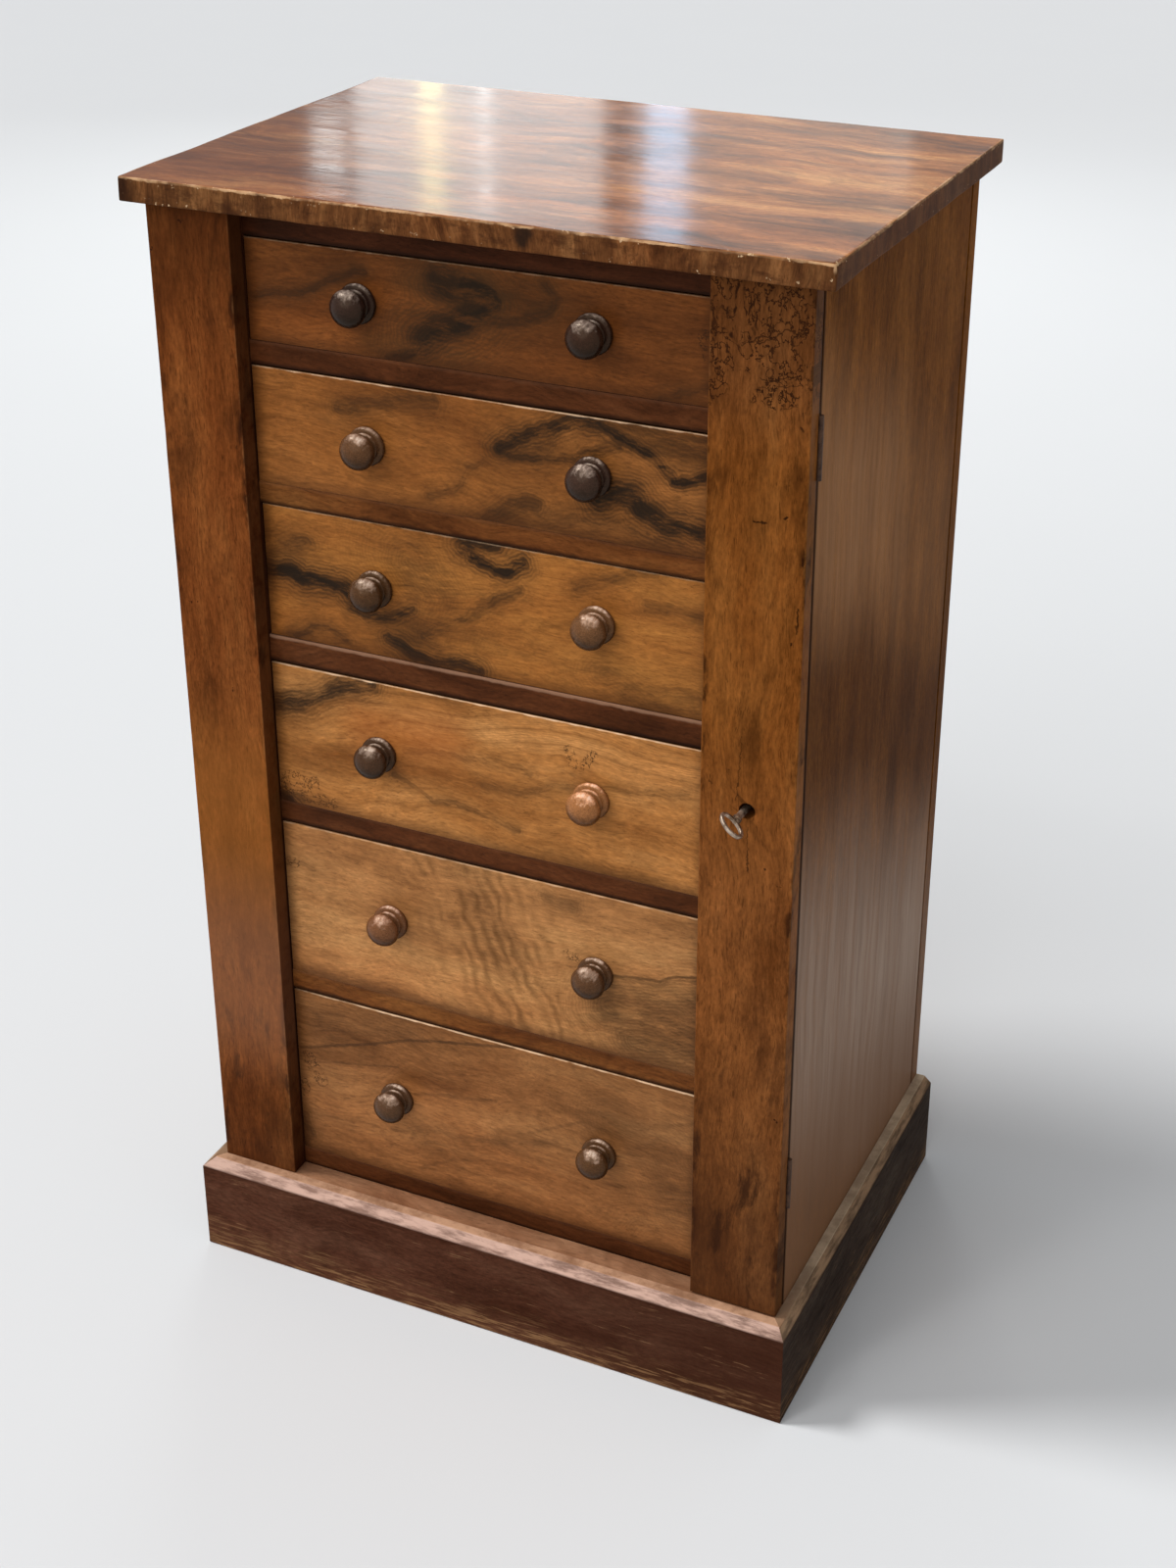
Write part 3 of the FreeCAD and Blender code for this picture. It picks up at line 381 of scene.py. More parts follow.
# The polished face.
face_tones = shades(((76, 40, 18), (128, 74, 34), (164, 102, 52), (190, 132, 76)))
face, face_height, face_flow = woody(top, "x", (4.0, 2.0, 0.0), face_tones, figure=1.7, lines=14.0,
                                     fibre=0.16, red=0.3)
shade = top.grade(top.grains((4, 34, 9), 6, 0.7, on=face_flow), 0.5, 0.64, 0.0, 0.6)
face = top.over(face, shade, 62, 30, 14)
face = top.over(face, top.grade(top_x, 0.1, -0.3, 0.0, 0.5), 88, 42, 20)

# The faced edges, stained, darker on the ends and at the left corner, and with a dent in the front one.
DENT_X = 0.058
DENT_DROP = 0.0077
edge_tones = shades(((66, 38, 20), (102, 64, 35), (130, 88, 52)))
edge = woody(top, "z", (1.0, 5.0, 2.0), edge_tones, figure=5.0, fibre=0.2, pores=0.4)[0]
stains = top.grade(top.grains((26, 40, 60), 6, 0.75), 0.46, 0.66, 0.0, 0.7)
edge = top.over(edge, stains, 56, 30, 16)
on_end = top.grade(top.calc("ABSOLUTE", facing_x), 0.6, 0.8, 0.0, 0.45)
edge = top.over(edge, on_end, 74, 42, 22)
left_corner = top.grade(top_x, TOP_LOW.x + 0.023, TOP_LOW.x + 0.002, 0.0, 0.85)
edge = top.over(edge, left_corner, 34, 20, 14)
shaken = top.wandering(top.place, 90, (0.01, 0, 0.008))
from_dent = top.vector("SUBTRACT", shaken, (DENT_X, TOP_LOW.y, TOP_HIGH.z - DENT_DROP))
dent = top.grade(top.vector("LENGTH", from_dent, output="Value"), 0.0115, 0.005, 0.0, 0.85)
edge = top.over(edge, dent, 34, 24, 18)
on_face = top.grade(facing_z, 0.6, 0.8)
top_colour = top.mix(on_face, edge, face)

# The arrises, rubbed pale here and there, and chipped.
arris_gap = top.node("Attribute", {}, attribute_name="arris").outputs["Fac"]
ragged = top.times(top.noise(top.place, 110, 4, 0.65), 0.0045)
worn = top.grade(top.less(arris_gap, ragged), 0.0, -0.001)
worn = top.times(worn, top.grade(top_z, TOP_HIGH.z - 0.0087, TOP_HIGH.z - 0.0032))
worn = top.times(worn, top.grade(top.noise(top.place, 26, 4, 0.7), 0.42, 0.62, 0.12, 0.8))
top_colour = top.over(top_colour, worn, 206, 164, 122)
chips = top.grade(top.noise(top.place, 240, 2), 0.68, 0.72)
chips = top.times(chips, top.grade(arris_gap, 0.006, 0.002))
top_colour = top.over(top_colour, top.times(chips, 0.8), 214, 180, 140)

# The board is no longer flat, and its polish is uneven.
top_normal = top.relief(top.grains((8, 30, 9), 3, 0.55), 0.0003)
top_normal = top.relief(top.grains((30, 150, 30)), 0.00005, top_normal)
top_normal = top.relief(face_height, 0.00002, top_normal)
top_rough = top.grade(top.grains((5, 22, 5), 3), 0.3, 0.7, 0.08, 0.15)
top_rough = top.calc("ADD", top_rough, top.grade(on_face, 0.0, 1.0, 0.4, 0.0))
top_material = top.finish(top_colour, top_rough, top_normal, Specular_IOR_Level=0.02)

KNOCKS = (
    ((DENT_X, TOP_LOW.y, TOP_HIGH.z), 0.012, 0.003),
    ((-0.196, TOP_LOW.y, TOP_HIGH.z), 0.006, 0.0015),
    ((TOP_HIGH.x, TOP_LOW.y, TOP_HIGH.z), 0.02, 0.003),
    ((TOP_LOW.x, TOP_LOW.y, TOP_HIGH.z), 0.02, 0.002),
)
TOP_STEP = 0.012
TOP_WEAR = 0.0022
top_form = worn_copy("top_board", TOP_STEP, TOP_WEAR, KNOCKS)
linked("worn_top_board", top_form, "carcase", "walnut_top", top_material, "top_board")


# The drawer fronts are faced with figured walnut veneer, one leaf to a drawer, french polished. The dark
# streaks are the smoky figure of the veneer, laid by their middle lines in millimetres across the front.
def dress(material, *nodes):
    for name in nodes:
        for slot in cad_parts[name].material_slots:
            slot.material = material


def strip_group():
    """A node group that gives how far a place is from a straight run between two points."""
    group = bpy.data.node_groups.new("strip", "ShaderNodeTree")
    for label in ("Place", "From", "Along"):
        group.interface.new_socket(label, in_out="INPUT", socket_type="NodeSocketVector")
    group.interface.new_socket("Square", in_out="INPUT", socket_type="NodeSocketFloat")
    group.interface.new_socket("Gap", in_out="OUTPUT", socket_type="NodeSocketFloat")
    entry = group.nodes.new("NodeGroupInput").outputs
    run = Nodes(group)
    offset = run.vector("SUBTRACT", entry["Place"], entry["From"])
    ahead = run.vector("DOT_PRODUCT", offset, entry["Along"], output="Value")
    share = run.calc("DIVIDE", ahead, entry["Square"], clamp=True)
    nearest = run.node("VectorMath", {0: entry["Along"], "Scale": share}, operation="SCALE").outputs["Vector"]
    gap = run.vector("LENGTH", run.vector("SUBTRACT", offset, nearest), output="Value")
    run.feed(group.nodes.new("NodeGroupOutput").inputs["Gap"], gap)
    return group


strip = strip_group()


# How many widths from its middle line a streak's halo ends, its core ends, and its core is full.
HALO_END = 3.6
CORE_END = 1.15
CORE_FULL = 0.3


def streak(finish, place, points, width):
    """How near a place is to the line through the points, which are in millimetres like the width: as a soft
    halo and as a core. The third value is the gap itself, in metres."""
    gaps = []
    for ends in zip(points, points[1:]):
        start, end = [Vector((x / 1000, 0.0, z / 1000)) for x, z in ends]
        along = end - start
        feeds = {"Place": place, "From": start, "Along": along, "Square": along.length_squared}
        gaps.append(finish.node("Group", feeds, node_tree=strip).outputs["Gap"])
    gap = finish.fold("MINIMUM", gaps)
    halo = finish.grade(gap, HALO_END * width / 1000, 0.0)
    core = finish.grade(gap, CORE_END * width / 1000, CORE_FULL * width / 1000)
    return halo, core, gap


# Each streak: strength, width, and its points. Cracks and knots are the narrow ones.
STREAKS = {
    1: (
        (0.45, 5, ((-207, 982), (-160, 990), (-130, 1006), (-100, 1017))),
        (0.9, 9, ((-11, 1016), (0, 1015), (14, 1011), (20, 1003), (5, 991), (-12, 984))),
        (0.85, 6, ((5, 991), (-9, 978), (-26, 973), (-41, 967), (-53, 960), (-59, 954), (-77, 944))),
        (0.5, 7, ((61, 1024), (72, 1013), (67, 1002), (47, 994), (19, 988), (-12, 981), (-26, 974))),
        (0.4, 5, ((164, 946), (182, 953), (201, 962))),
        (0.75, 20, ((-30, 1014), (10, 1004), (-10, 985), (-50, 965))),
        (0.3, 20, ((20, 1010), (60, 1012))),
    ),
    2: (
        (0.8, 9, ((21, 885), (35, 895), (51, 902), (73, 911), (89, 918), (110, 919))),
        (0.85, 6, ((89, 918), (110, 919), (121, 911), (139, 904), (155, 897), (165, 887), (176, 881),
                   (194, 884), (204, 890))),
        (0.6, 6, ((21, 885), (32, 879), (51, 880), (78, 884), (89, 883), (110, 896), (123, 901))),
        (0.45, 22, ((141, 919), (173, 912), (198, 908))),
        (0.45, 16, ((30, 888), (60, 897))),
        (0.85, 13, ((107, 852), (123, 863), (137, 861), (142, 853), (163, 843), (181, 841), (203, 838))),
        (0.5, 10, ((-3, 814), (19, 824), (33, 835), (50, 840))),
        (0.35, 18, ((28, 818), (88, 834), (142, 830), (200, 824))),
        (0.3, 5, ((-46, 830), (-22, 842), (-11, 859), (7, 873))),
        (0.4, 9, ((-126, 897), (-91, 905), (-59, 912), (-37, 913))),
    ),
    3: (
        (0.95, 9, ((-206, 738), (-186, 740), (-171, 733), (-151, 736), (-133, 735), (-124, 728))),
        (0.4, 10, ((-171, 736), (-135, 735), (-115, 720))),
        (0.7, 6, ((-125, 718), (-109, 710), (-86, 713), (-68, 727))),
        (0.8, 9, ((-21, 790), (-7, 794), (12, 797))),
        (0.9, 7, ((-10, 784), (0, 780), (14, 775), (22, 775), (38, 786))),
        (0.45, 6, ((35, 761), (22, 753), (2, 741), (-20, 724), (-38, 715), (-61, 702))),
        (0.8, 8, ((-92, 691), (-70, 683), (-44, 680), (-22, 684), (-5, 680))),
        (0.35, 6, ((89, 771), (115, 786), (138, 796), (154, 799))),
        (0.35, 6, ((149, 769), (177, 768), (204, 763))),
        (0.45, 5, ((-187, 678), (-171, 688), (-151, 690), (-136, 682))),
        (0.4, 10, ((-202, 758), (-190, 762), (-172, 768))),
        (0.3, 30, ((-70, 770), (-42, 740), (-60, 700))),
        (0.3, 16, ((110, 700), (150, 684), (190, 690))),
    ),
    4: (
        (0.7, 9, ((-208, 605), (-184, 613), (-166, 623), (-148, 633), (-127, 640), (-112, 646))),
        (0.5, 5, ((-208, 616), (-186, 623), (-165, 631), (-139, 642))),
        (0.25, 4, ((-78, 588), (-46, 594), (-7, 594), (26, 598), (45, 594))),
        (0.3, 3.6, ((-91, 562), (-65, 553), (-51, 546), (-31, 546), (3, 541), (31, 536))),
        (0.25, 5, ((-2, 570), (31, 572), (48, 578), (72, 587), (126, 596), (191, 606))),
        (1.0, 6, ((-211, 517), (-203, 513), (-196, 510))),
    ),
    5: (
        (0.25, 9, ((57, 474), (71, 471), (84, 472))),
        (0.6, 2.0, ((118, 409), (140, 413), (166, 416), (179, 424), (206, 431))),
        (0.35, 4, ((118, 407), (140, 410), (166, 413), (179, 420), (206, 426))),
        (0.4, 30, ((120, 376), (160, 386), (206, 398))),
        (0.4, 26, ((140, 346), (170, 352), (206, 366))),
        (0.2, 4, ((-205, 447), (-193, 447), (-181, 444))),
        (0.14, 26, ((-20, 480), (0, 440), (20, 390))),
    ),
    6: (
        (0.5, 2.2, ((-207, 240), (-196, 243), (-165, 254), (-126, 267), (-91, 281), (-59, 289), (-19, 297),
                    (23, 306))),
        (0.16, 22, ((-180, 275), (-140, 284), (-90, 297))),
        (0.3, 1.6, ((-203, 224), (-166, 234), (-136, 240), (-101, 248))),
        (0.3, 2.4, ((-84, 222), (-49, 231), (-35, 232), (2, 240))),
        (0.2, 5, ((-110, 176), (-62, 188), (-22, 188), (35, 202), (64, 214))),
        (0.2, 2.4, ((-82, 137), (-46, 158), (-5, 169), (29, 172))),
        (0.25, 2.4, ((36, 215), (91, 244), (145, 255), (206, 277))),
        (0.4, 7, ((-210, 128), (-204, 140), (-209, 160))),
        (0.22, 40, ((120, 250), (170, 240), (200, 180))),
    ),
}
# Where the veneer is crackled: the width of the patch, and its line.
CRACKLED = {
    1: ((3, ((196, 1000), (200, 985))),),
    4: ((5, ((-206, 520), (-198, 532), (-178, 534))), (3, ((-182, 520), (-156, 519))),
        (2.2, ((80, 624), (84, 611))), (2.2, ((102, 624), (95, 612)))),
    5: ((2.2, ((77, 421), (88, 418))), (2.5, ((-206, 446), (-200, 446)))),
    6: ((3.6, ((-200, 231), (-187, 208))), (3, ((-206, 200), (-207, 190)))),
}
# The tones of each leaf from dark to pale, how many growth rings show and how dark, how smoky the leaf is,
# and how far its upper arris is rubbed pale, partly as a painted highlight.
FRONTS = {
    # The first leaf's tones are darkened by a painted shadow of the top's overhang.
    1: (((84, 46, 20), (112, 64, 28), (132, 78, 36)), 12.0, 0.45, 0.45, 0.3),
    2: (((110, 62, 26), (142, 87, 40), (164, 104, 52)), 12.0, 0.4, 0.2, 0.85),
    3: (((112, 66, 28), (150, 93, 42), (174, 114, 54)), 12.0, 0.4, 0.26, 0.4),
    4: (((124, 74, 32), (170, 112, 58), (194, 136, 78)), 20.0, 0.4, 0.28, 1.0),
    5: (((124, 80, 44), (172, 120, 72), (194, 144, 90)), 12.0, 0.3, 0.2, 0.5),
    6: (((107, 65, 33), (146, 96, 55), (168, 117, 71)), 16.0, 0.42, 0.25, 1.0),
}
# The figure shows fine lines along each streak, this far apart.
LINE_GAP = 0.0017
# A streak that is narrower than this, in millimetres, is a crack. It is thin and throws no halo.
NARROW = 3.5
# Old french polish is amber, and so is its gloss.
WARM_GLOSS = (1.0, 0.74, 0.5, 1.0)


def smoky_figure(wood, streaks, flat, feathered, smoke):
    """How dark the smoky figure is: its soft shadow, and its heart with the cracks."""
    thin = wood.wandering(flat, 160, (0.003, 0, 0.003))
    shadows, hearts, cracks = [], [], []
    for strength, width, points in streaks:
        narrow = width < NARROW
        around, middle, gap = streak(wood, thin if narrow else feathered, points, width)
        middle = wood.times(middle, strength)
        if narrow:
            cracks.append(middle)
            continue
        lined = wood.grade(wood.calc("PINGPONG", gap, LINE_GAP), 0.0, LINE_GAP, 0.5, 1.15, "LINEAR")
        shadows.append(wood.times(wood.times(around, lined), strength))
        hearts.append(middle)
    shadow = wood.fold("MAXIMUM", shadows)
    shadow = wood.times(shadow, wood.grade(smoke, 0.3, 0.7, 0.85, 1.5), clamp=True)
    heart = wood.fold("MAXIMUM", hearts)
    heart = wood.times(heart, wood.grade(smoke, 0.34, 0.56, 0.4, 1.15), clamp=True)
    return shadow, wood.fold("MAXIMUM", [heart, *cracks])


def crackle(wood, flat, patches):
    """How dark the net of fine cracks is in the patches, each given by its width and line."""
    near = wood.fold("MAXIMUM", [streak(wood, flat, points, width)[0] for width, points in patches])
    level = wood.noise(flat, 130, 5, 0.62)
    crack = wood.grade(wood.off(level, 0.5), 0.028, 0.008)
    return wood.times(crack, wood.grade(near, 0.2, 0.5))


def curl(wood, flat):
    """How dark the curl is, broken stripes that run down across the figure."""
    across = wood.laid(wood.wandering(wood.place, 14, (0.03, 0, 0.02)), turn=(0, 0.35, 0))
    feeds = {"Vector": across, "Scale": 24.0, "Distortion": 9.0, "Detail": 3.0}
    stripes = wood.node("TexWave", feeds).outputs["Fac"]
    middle = streak(wood, flat, ((-30, 470), (40, 350)), 30)[0]
    broken = wood.grade(wood.noise(wood.place, 42, 3), 0.36, 0.6, 0.1, 0.62)
    return wood.times(stripes, wood.times(middle, broken))


def front_edges(wood, colour, low, high, rubbed, smoke):
    """The colour with a pale upper arris, partly a painted highlight, dirt and painted shade at its edges,
    and the solid wood behind it, with painted shade in the gap on top.
    """
    x, y, z = wood.parts(wood.place)
    lift = wood.times(wood.noise(wood.place, 70, 3), 0.003)
    # The upper arris is rubbed pale, and partly a painted highlight.
    arris = wood.grade(wood.calc("ADD", z, lift), high.z + 0.0004, high.z + 0.0018)
    arris = wood.times(arris, wood.grade(y, low.y + 0.002, low.y + 0.0009))
    colour = wood.over(colour, wood.times(arris, rubbed), 224, 188, 152)
    # Dirt and painted shade darken the edges beside the pilasters and along the bottom.
    side_gap = wood.calc("MINIMUM", wood.less(x, low.x), wood.less(high.x, x))
    edge_gap = wood.calc("MINIMUM", side_gap, wood.less(z, low.z))
    dirt_and_painted_shade = wood.grade(wood.less(edge_gap, lift), 0.014, -0.002, 0.0, 0.6)
    colour = wood.over(colour, dirt_and_painted_shade, 58, 30, 14)
    solid = wood.ramp(smoke, (0.3, screen(112, 68, 36)), (0.7, screen(150, 98, 56)))
    colour = wood.mix(wood.grade(y, low.y + 0.0016, low.y + 0.0022), colour, solid)
    # Painted shade in the gap under the rail above darkens the top of the solid wood.
    painted_gap_shade = wood.grade(z, high.z - 0.004, high.z - 0.001)
    painted_gap_shade = wood.times(painted_gap_shade, wood.grade(y, low.y + 0.001, low.y + 0.003))
    return wood.over(colour, wood.times(painted_gap_shade, 0.8), 40, 24, 14)


# The fourth front has a warm glow beside its left knob, and the fifth a curl across its figure.
GLOWING = 4
CURLED = 5
for number, streaks in STREAKS.items():
    wood = Finish(f"drawer_{number}_veneer")
    levels, lines, rings, smokiness, rubbed = FRONTS[number]
    shift = (number * 3.7, 0.0, number * 5.3)
    colour, height, flow = woody(wood, "x", shift, shades(levels), figure=1.2, lines=lines, fibre=0.18,
                                 pores=0.32, red=0.3, rings=rings)
    flat = wood.vector("MULTIPLY", wood.place, (1.0, 0.0, 1.0))
    smoky = wood.wandering(flat, 24, (0.022, 0, 0.012), 4)
    feathered = wood.wandering(wood.laid(smoky, shift=(2, 0, 0)), 130, (0.007, 0, 0.006), 4)
    feathered = wood.laid(feathered, shift=(-2, 0, 0))
    smoke = wood.grains((26, 1, 90), 6, 0.7, on=flow)
    wisps = wood.grains((6, 1, 20), 6, 0.65, (1.7, 0, 4.4), on=flow)
    wisps = wood.grade(wisps, 0.52, 0.7, 0.0, smokiness)
    shadow, heart = smoky_figure(wood, streaks, flat, feathered, smoke)
    colour = wood.over(colour, wisps, 72, 46, 22)
    colour = wood.over(colour, wood.times(shadow, 0.88), 70, 45, 24)
    colour = wood.over(colour, wood.times(heart, 0.95), 30, 22, 16)
    if number in CRACKLED:
        crack = crackle(wood, flat, CRACKLED[number])
        colour = wood.over(colour, wood.times(crack, 0.85), 46, 28, 16)
    if number == CURLED:
        colour = wood.over(colour, curl(wood, flat), 92, 58, 28)
    if number == GLOWING:
        glow = streak(wood, smoky, ((-110, 600), (-40, 610)), 12)[0]
        colour = wood.over(colour, wood.times(glow, 0.35), 158, 76, 26)
    low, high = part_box(f"drawer_{number}_front")
    colour = front_edges(wood, colour, low, high, rubbed, smoke)
    normal = wood.relief(wood.grains((8, 8, 24)), 0.0004)
    normal = wood.relief(height, 0.00006, normal)
    rough = wood.grains((10, 10, 40), 3)
    rough = wood.grade(rough, 0.3, 0.7, 0.26, 0.42)
    material = wood.finish(colour, rough, normal, Specular_IOR_Level=0.1, Specular_Tint=WARM_GLOSS)
    dress(material, f"drawer_{number}_front")


# The pilasters are walnut, veneered up and down. The left one is redder and is glued to its post. The right
# one is hinged at its outer edge, and the polish at its head has crackled into dark islands.
# The marks on the hinged one: strength, width, and points in millimetres. Cracks run up and down from its
# keyhole.
PILASTER_MARKS = (
    (1.0, 2.6, ((224.5, 1010.4), (224.6, 1009.4))), (0.9, 1.3, ((221.8, 1004), (221.3, 998))),
    (0.9, 1.3, ((257.3, 1004.4), (257.5, 997.6))), (0.8, 1.2, ((273.1, 1013.9), (273.3, 1008.8))),
    (0.85, 0.7, ((249, 980.5), (256, 978.5), (263, 981), (272, 984.5), (281, 986.6))),
    (0.8, 0.8, ((243, 1008.5), (248, 1013.6), (258.6, 1012), (267.5, 1020.6), (275, 1018.7))),
    (0.7, 0.6, ((233, 1006.4), (238.6, 1008), (247, 1007.5), (255.5, 1011))),
    (0.7, 0.6, ((260, 976), (270, 976.7), (281, 979))), (0.6, 0.6, ((268, 959), (274, 961), (279, 963.5))),
    (0.9, 1.6, ((289.8, 995), (289.4, 987), (290.5, 979))), (0.8, 1.4, ((281.8, 947), (283.4, 944.3))),
    (0.9, 0.9, ((246.7, 866), (251.5, 866.4), (255.5, 866.6))), (0.9, 1.7, ((253.5, 866.6), (255.5, 866.2))),
    (0.5, 0.8, ((274.8, 904), (274.2, 899.2))), (0.8, 1.4, ((288.9, 846), (288.5, 836))),
    (0.8, 1.2, ((285.5, 799), (285, 778))),
    (0.75, 0.5, ((242.2, 680), (241.8, 665.6), (240.5, 649), (240, 636.6), (238.7, 622))),
    (0.75, 0.5, ((249.2, 600), (249.8, 577), (250.4, 556.7))), (0.9, 1.5, ((265.8, 563.5), (265.8, 563))),
)


def crackled_polish(wood, z):
    """How dark the crackled head of the hinged pilaster is, with the marks."""
    level = wood.noise(wood.laid(wood.place, (1.15, 1, 0.9)), 78, 5, 0.62)
    line = wood.grade(wood.off(level, 0.5), 0.026, 0.01)
    patch = wood.noise(wood.laid(wood.place, (1, 1, 0.8), (2, 0, 1)), 36, 4, 0.6)
    patch = wood.calc("ADD", patch, wood.grade(z, 0.92, 0.966, -0.5, 0.06, "LINEAR"))
    net = wood.times(line, wood.grade(patch, 0.46, 0.54))
    shaken = wood.wandering(wood.place, 120, (0.006, 0.006, 0.006))
    stripes = wood.grade(wood.grains((300, 1, 75), on=shaken), 0.6, 0.66)
    stripes = wood.times(stripes, wood.grade(z, 1.0, 1.03))
    flat = wood.vector("MULTIPLY", wood.place, (1.0, 0.0, 1.0))
    wiggly = wood.wandering(flat, 200, (0.006, 0, 0.006), 4)
    marks = [wood.times(streak(wood, wiggly, points, width)[1], strength)
             for strength, width, points in PILASTER_MARKS]
    return wood.fold("MAXIMUM", [net, stripes, *marks])


def blotches(wood, colour, x, low, high, lift):
    """The colour with dark clouds and specks, knocks along its edges, and rubbed arrises."""
    cloud = wood.grains((22, 1, 9), 6, 0.66, (1, 0, 7))
    colour = wood.over(colour, wood.grade(cloud, 0.5, 0.68, 0.0, 0.6), 58, 30, 14)
    shaken = wood.wandering(wood.place, 200, (0.01, 0.01, 0.01))
    specks = wood.grade(wood.spots(shaken, 55), 0.13, 0.06)
    rare = wood.grade(wood.noise(wood.place, 34), 0.56, 0.61)
    colour = wood.over(colour, wood.times(specks, wood.times(rare, 0.9)), 30, 15, 9)
    side_gap = wood.less(wood.calc("MINIMUM", wood.less(x, low.x), wood.less(high.x, x)), lift)
    knocked = wood.grains((60, 60, 22), 4, 0.6, (3, 1, 2))
    knocked = wood.grade(knocked, 0.52, 0.64)
    near_edge = wood.grade(side_gap, 0.004, -0.003)
    colour = wood.over(colour, wood.times(knocked, wood.times(near_edge, 0.85)), 40, 20, 10)
    rubbed = wood.grade(side_gap, -0.0025, -0.0045)
    return wood.over(colour, wood.times(rubbed, 0.25), 170, 116, 70)


def foot_and_smears(wood, colour, z, flow, lift, foot_top, foot_share):
    """The colour with a dark foot, and with smears that run up from it along the fibres."""
    foot = wood.grade(wood.calc("ADD", z, wood.times(lift, 14.0)), foot_top, 0.12, 0.0, foot_share)
    colour = wood.over(colour, foot, 60, 34, 20)
    smear = wood.grains((34, 1, 9), 6, 0.68, (0, 0, 4), on=flow)
    smear = wood.times(wood.grade(smear, 0.54, 0.66), wood.grade(z, 0.44, 0.26, 0.0, 0.85))
    return wood.over(colour, smear, 50, 28, 16)


PILASTER_STEP = 0.02
PILASTER_WEAR = 0.0012
# Each pilaster: its body, where it lies in the figure, how high and how dark its foot is, which way along x
# its inner edge faces, and its tones.
for name, body, shift, foot_top, foot_share, inward, levels in (
    ("pilaster_left", "carcase", (2.0, 0.0, 1.0), 0.3, 0.7, 1.0,
     ((76, 38, 16), (112, 62, 28), (130, 78, 38))),
    ("pilaster_right", "pilaster", (6.0, 0.0, 3.0), 0.5, 0.75, -1.0,
     ((95, 53, 23), (128, 77, 38), (147, 94, 51))),
):
    wood = Finish(f"{name}_veneer")
    colour, height, flow = woody(wood, "z", shift, shades(levels), figure=1.2, wander=0.6, lines=12.0,
                                 fibre=0.22, pores=0.45, red=0.3, rings=0.3)
    low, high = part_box(name)
    x, y, z = wood.parts(wood.place)
    if name == "pilaster_right":
        colour = wood.over(colour, wood.times(crackled_polish(wood, z), 0.94), 32, 18, 10)
    lift = wood.times(wood.noise(wood.place, 60, 4, 0.65), 0.008)
    colour = blotches(wood, colour, x, low, high, lift)
    colour = foot_and_smears(wood, colour, z, flow, lift, foot_top, foot_share)
    if name == "pilaster_left":
        glow = wood.grade(wood.off(z, 0.48), 0.16, 0.03, 0.0, 0.34)
        colour = wood.over(colour, glow, 166, 104, 46)
        # A painted reflection of the floor lies on the lower part.
        painted_floor_reflection = wood.times(wood.grade(z, 0.48, 0.34, 0.0, 0.36), wood.grade(z, 0.18, 0.29))
        colour = wood.over(colour, painted_floor_reflection, 150, 104, 78)
    else:
        warmer = wood.times(wood.grade(z, 0.5, 0.7), wood.grade(z, 1.0, 0.9))
        colour = wood.mix(warmer, colour, (0.84, 0.78, 0.55, 1.0), "MULTIPLY")
    # Painted shade in the gap behind the pilaster darkens the back of its returns.
    painted_back_shade = wood.grade(y, high.y - 0.0035, high.y - 0.001, 0.0, 0.85)
    colour = wood.over(colour, painted_back_shade, 32, 17, 9)
    # A painted shadow of the top's overhang darkens the head.
    head = wood.grade(z, 0.9, 1.05, 0.0, 0.56)
    colour = wood.over(colour, head, 50, 26, 12)
    # Painted shade darkens the inner return face beside the drawers.
    painted_return_shade = wood.grade(wood.times(wood.parts(wood.facing)[0], inward), 0.6, 0.8, 0.0, 0.6)
    colour = wood.over(colour, painted_return_shade, 50, 22, 10)
    normal = wood.relief(wood.grains((24, 8, 8)), 0.0004)
    normal = wood.relief(height, 0.00008, normal)
    rough = wood.grade(wood.grains((40, 10, 10), 3), 0.3, 0.7, 0.28, 0.46)
    material = wood.finish(colour, rough, normal, Specular_IOR_Level=0.006)
    form = worn_copy(name, PILASTER_STEP, PILASTER_WEAR, seed=shift[0])
    linked(f"worn_{name}", form, body, "walnut_pilaster", material, name)


# The sides are solid walnut boards, up and down. Painted reflections lie on them, greyer below: strongly
# on the right one, less so on the left one.
# The back frame is stained to match.
SIDE_TONES = shades(((84, 48, 16), (108, 64, 24), (126, 78, 32)))
